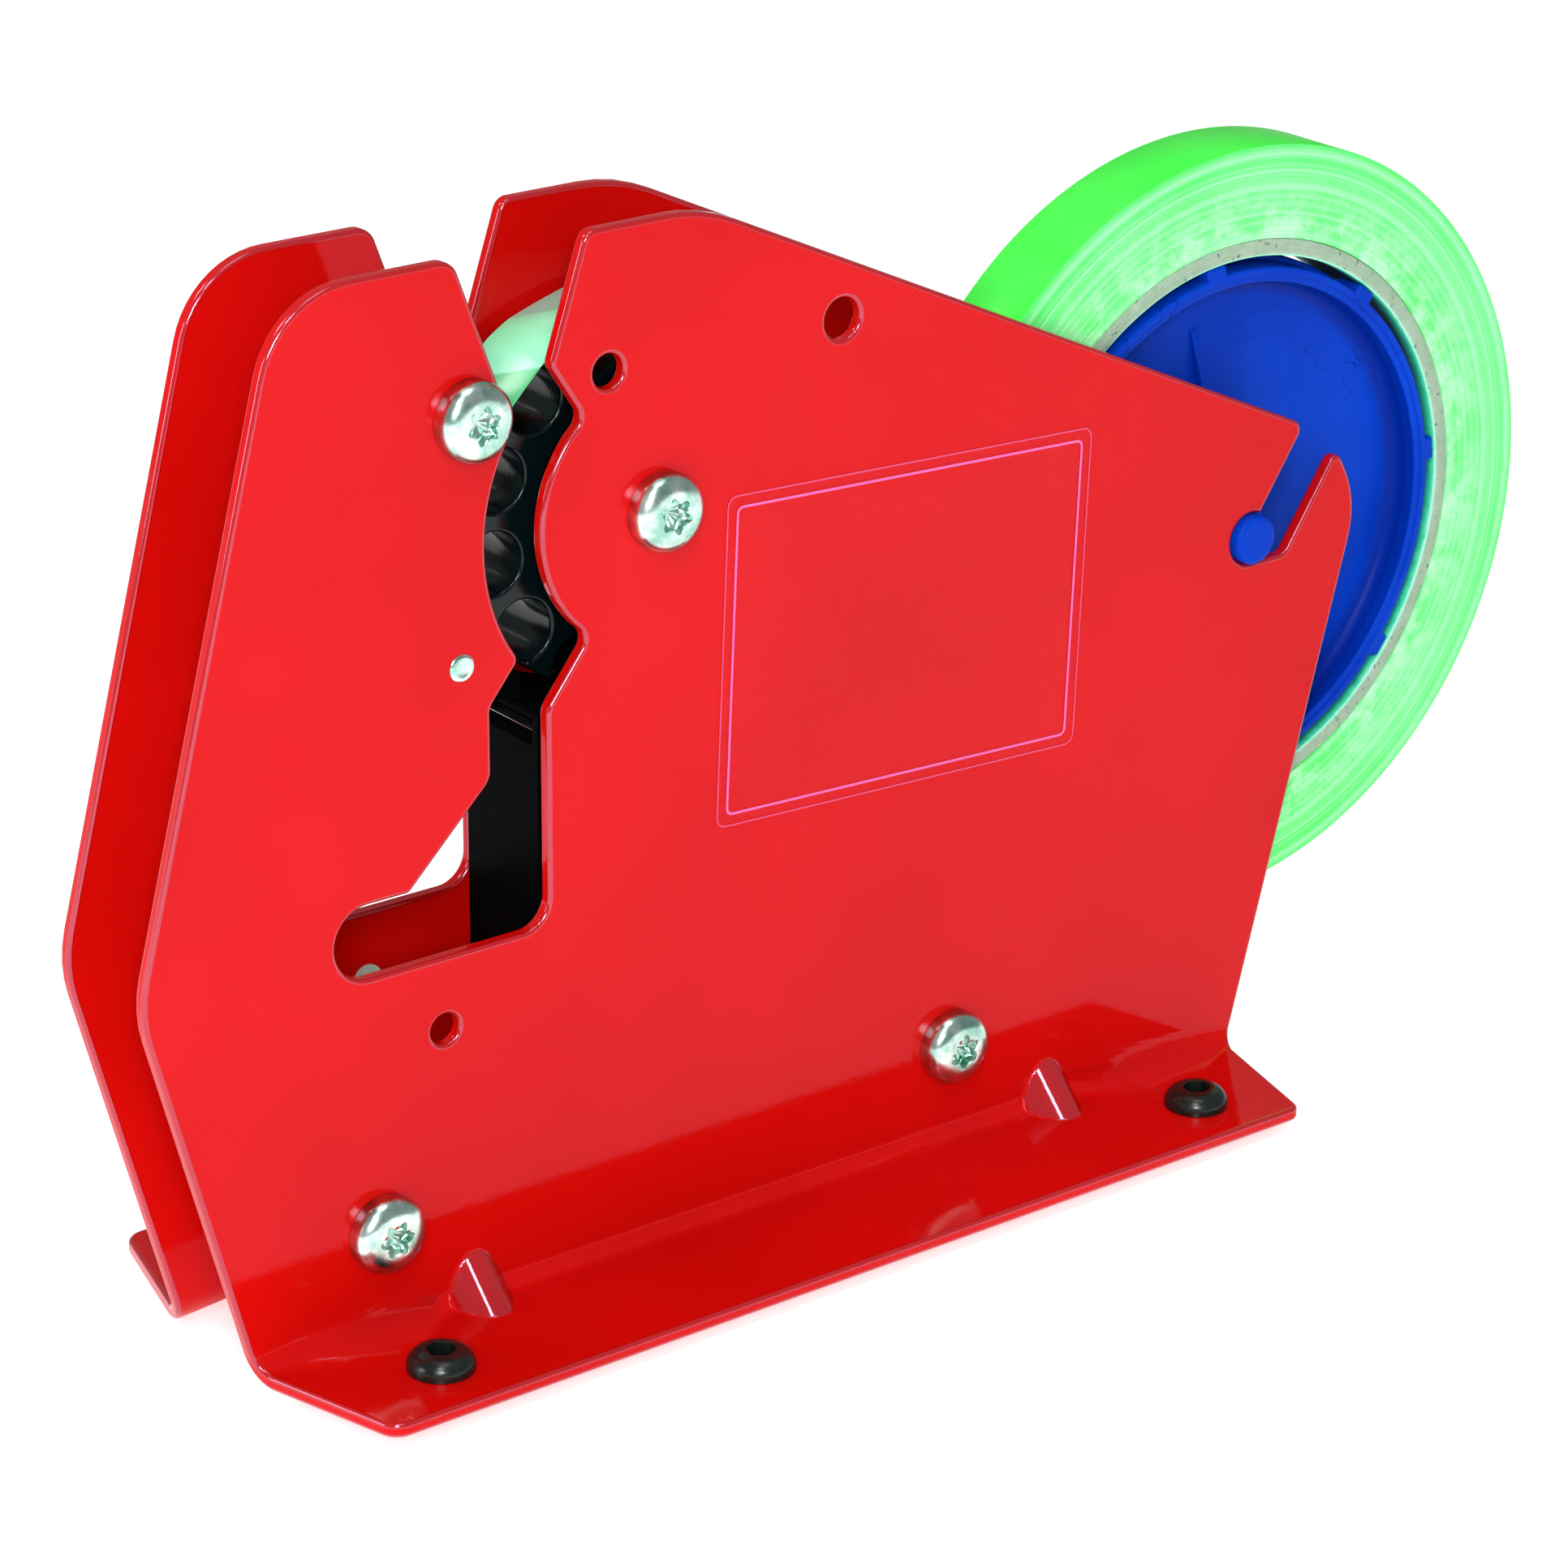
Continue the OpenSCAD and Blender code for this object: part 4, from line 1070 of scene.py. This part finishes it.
def strip(mat):
    """The free run of tape: off the roll, across, and round the wheel on its lips."""
    wheel_line, roll_line, first = 25.45, 54.5, 210       # the tape's middle, and its first angle
    sag_depth, sag_half = 0.26, 9.5                       # into a pocket, in mm and degrees
    wheel, reel = np.array(WHEEL_AT), np.array(REEL_AT)
    span = reel - wheel
    dist = float(np.hypot(*span))
    leave = math.degrees(math.atan2(span[1], span[0])
                         + math.acos((wheel_line + roll_line) / dist))
    points = []
    for i in range(181):
        a = first + (leave - first) * i / 180
        t = ((a - FIRST_POCKET) % POCKET_PITCH) / POCKET_PITCH      # 0 at a pocket's middle
        t = min(t, 1 - t) * POCKET_PITCH
        sag = sag_depth * max(0.0, 1 - (t / sag_half) ** 2)
        if a < leave + 6:
            sag *= (a - leave) / 6
        points.append(wheel + (wheel_line - sag) * np.array(polar(1, a)))
    start, end = points[-1], reel - roll_line * np.array(polar(1, leave))
    points += [start + (end - start) * t for t in np.linspace(0, 1, 40)[1:-1]]
    points += [reel + roll_line * np.array(polar(1, a))
               for a in np.linspace(leave + 180, leave + 188, 10)]
    points = np.array(points)
    along = np.gradient(points, axis=0)
    along /= np.linalg.norm(along, axis=1)[:, None]
    out = np.column_stack([-along[:, 1], along[:, 0]])

    half, th = 6.0, 0.13                      # half the width and half the thickness
    cross = [(-half, -th * 0.6), (-half, th * 0.6), (-half + 0.15, th), (half - 0.15, th),
             (half, th * 0.6), (half, -th * 0.6), (half - 0.15, -th), (-half + 0.15, -th)]
    verts = [(p[0] + q[0] * h, y, p[1] + q[1] * h + FOOT_H)
             for p, q in zip(points, out) for y, h in cross]
    m = len(cross)
    faces = []
    for i in range(len(points) - 1):
        for j in range(m):
            a, b = i * m + j, i * m + (j + 1) % m
            faces.append((a, b, b + m, a + m))
    last = (len(points) - 1) * m
    faces += [tuple(range(m - 1, -1, -1)), tuple(range(last, last + m))]
    o = add_mesh("tape_free_run", np.array(verts) * MM, faces, mat, sharp=30)
    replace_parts(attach(o, "frame"), "tape_strip")


def label(film_mat, line_mat, edge_mat):
    """A clear film on the near plate, with a fine line as frame and a pale cut edge."""
    at = on_wall(0.6, 78.4 + FOOT_H, -2.2)
    half_w, half_h = 60.3 / 2, 44.6 / 2
    line_w, line_h, line, border = 57.3 / 2, 41.6 / 2, 0.33, 0.2
    film_y, line_y = -OUT_Y - 0.1, -OUT_Y - 0.12
    outline = rectangle(half_w, half_h, 1.5)
    v, f, normals = slab([outline], 0.06, 0.03, at(film_y), steps=2)
    o = add_mesh("clear_label", v, f, film_mat, normals)
    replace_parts(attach(o, "frame"), "label_film")
    for name, outer, inner, mat in (
            ("label_keyline", rectangle(line_w, line_h, 1),
             rectangle(line_w - line, line_h - line, 0.7), line_mat),
            ("label_border", outline, rectangle(half_w - border, half_h - border, 1.3), edge_mat)):
        v, f, normals = slab([outer, inner], 0.014, 0.006, at(line_y), steps=1)
        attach(add_mesh(name, v, f, mat, normals), "frame")


# ---------- CAD nodes that show as they are ----------


def dress(node, mat, bevel=0.0):
    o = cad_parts[node]
    o.data.materials.clear()
    o.data.materials.append(mat)
    if bevel:
        b = o.modifiers.new("edge", "BEVEL")
        b.width = bevel * MM
        b.segments = 3
        b.limit_method = "ANGLE"
        b.angle_limit = math.radians(40)
        b.harden_normals = False
    o.data.polygons.foreach_set("use_smooth", [True] * len(o.data.polygons))
    o.data.set_sharp_from_angle(angle=math.radians(35))


make_camera()
make_stage()

PAINT = [red_paint(), red_paint("red_paint_edge", 1.0, (0.07, 0.12), 0.72)]
ZINC = zinc()
STEEL = turned_steel()
WHEEL_BLACK = black_plastic("wheel_black", (0.0002, 0.003, 0.0035), (0.10, 0.18), 0.26)
# painted shade: the arm and blade holder get a blacker, nearly unreflective copy of the black
# plastic, for the shade they sit in
ARM_BLACK = black_plastic("moulded_black", (0.0003, 0.0006, 0.0008), (0.45, 0.65), 0.012)

near = plate("plate_near", -1, PAINT, SPARE_HOLES + [LOW_HOLE])
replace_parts(near, "side_plate_near")
far = plate("plate_far", 1, PAINT, SPARE_HOLES)
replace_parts(far, "side_plate_far")
side_screws("screws_near", -1, ZINC, "side_screws_near")
side_screws("screws_far", 1, ZINC, "side_screws_far")
foot_bolts(black_oxide())
pivot_pin(ZINC)
star_wheel(WHEEL_BLACK)
roll(tape_side(), tape_face(), card(), core_bore())
HUB = hub_plastic()
hub_half("hub_near", -1, HUB, "reel_hub_near")
hub_half("hub_far", 1, HUB, "reel_hub_far")
strip(tape_run())
label(film("label_clear", (0.9, 0.02, 0.04), 0.03),
      film("keyline", (0.85, 0.12, 0.40), 0.95, 0.3),
      film("film_edge", (0.85, 0.10, 0.25), 0.5, 0.2))

for spacer in ("spacer_top_front", "spacer_bottom_front", "spacer_bottom_rear", "wheel_axle"):
    dress(spacer, STEEL, 0.2)
dress("locating_pin", pale_pin(), 0.2)
dress("blade_screws", ZINC, 0.15)
dress("blade", turned_steel("blade_steel", 0.7))
dress("arm_spring", turned_steel("spring_steel", 0.5))
dress("pressure_arm", ARM_BLACK, 0.4)
dress("blade_holder", ARM_BLACK, 0.4)
dress("rubber_feet", rubber(), 0.3)
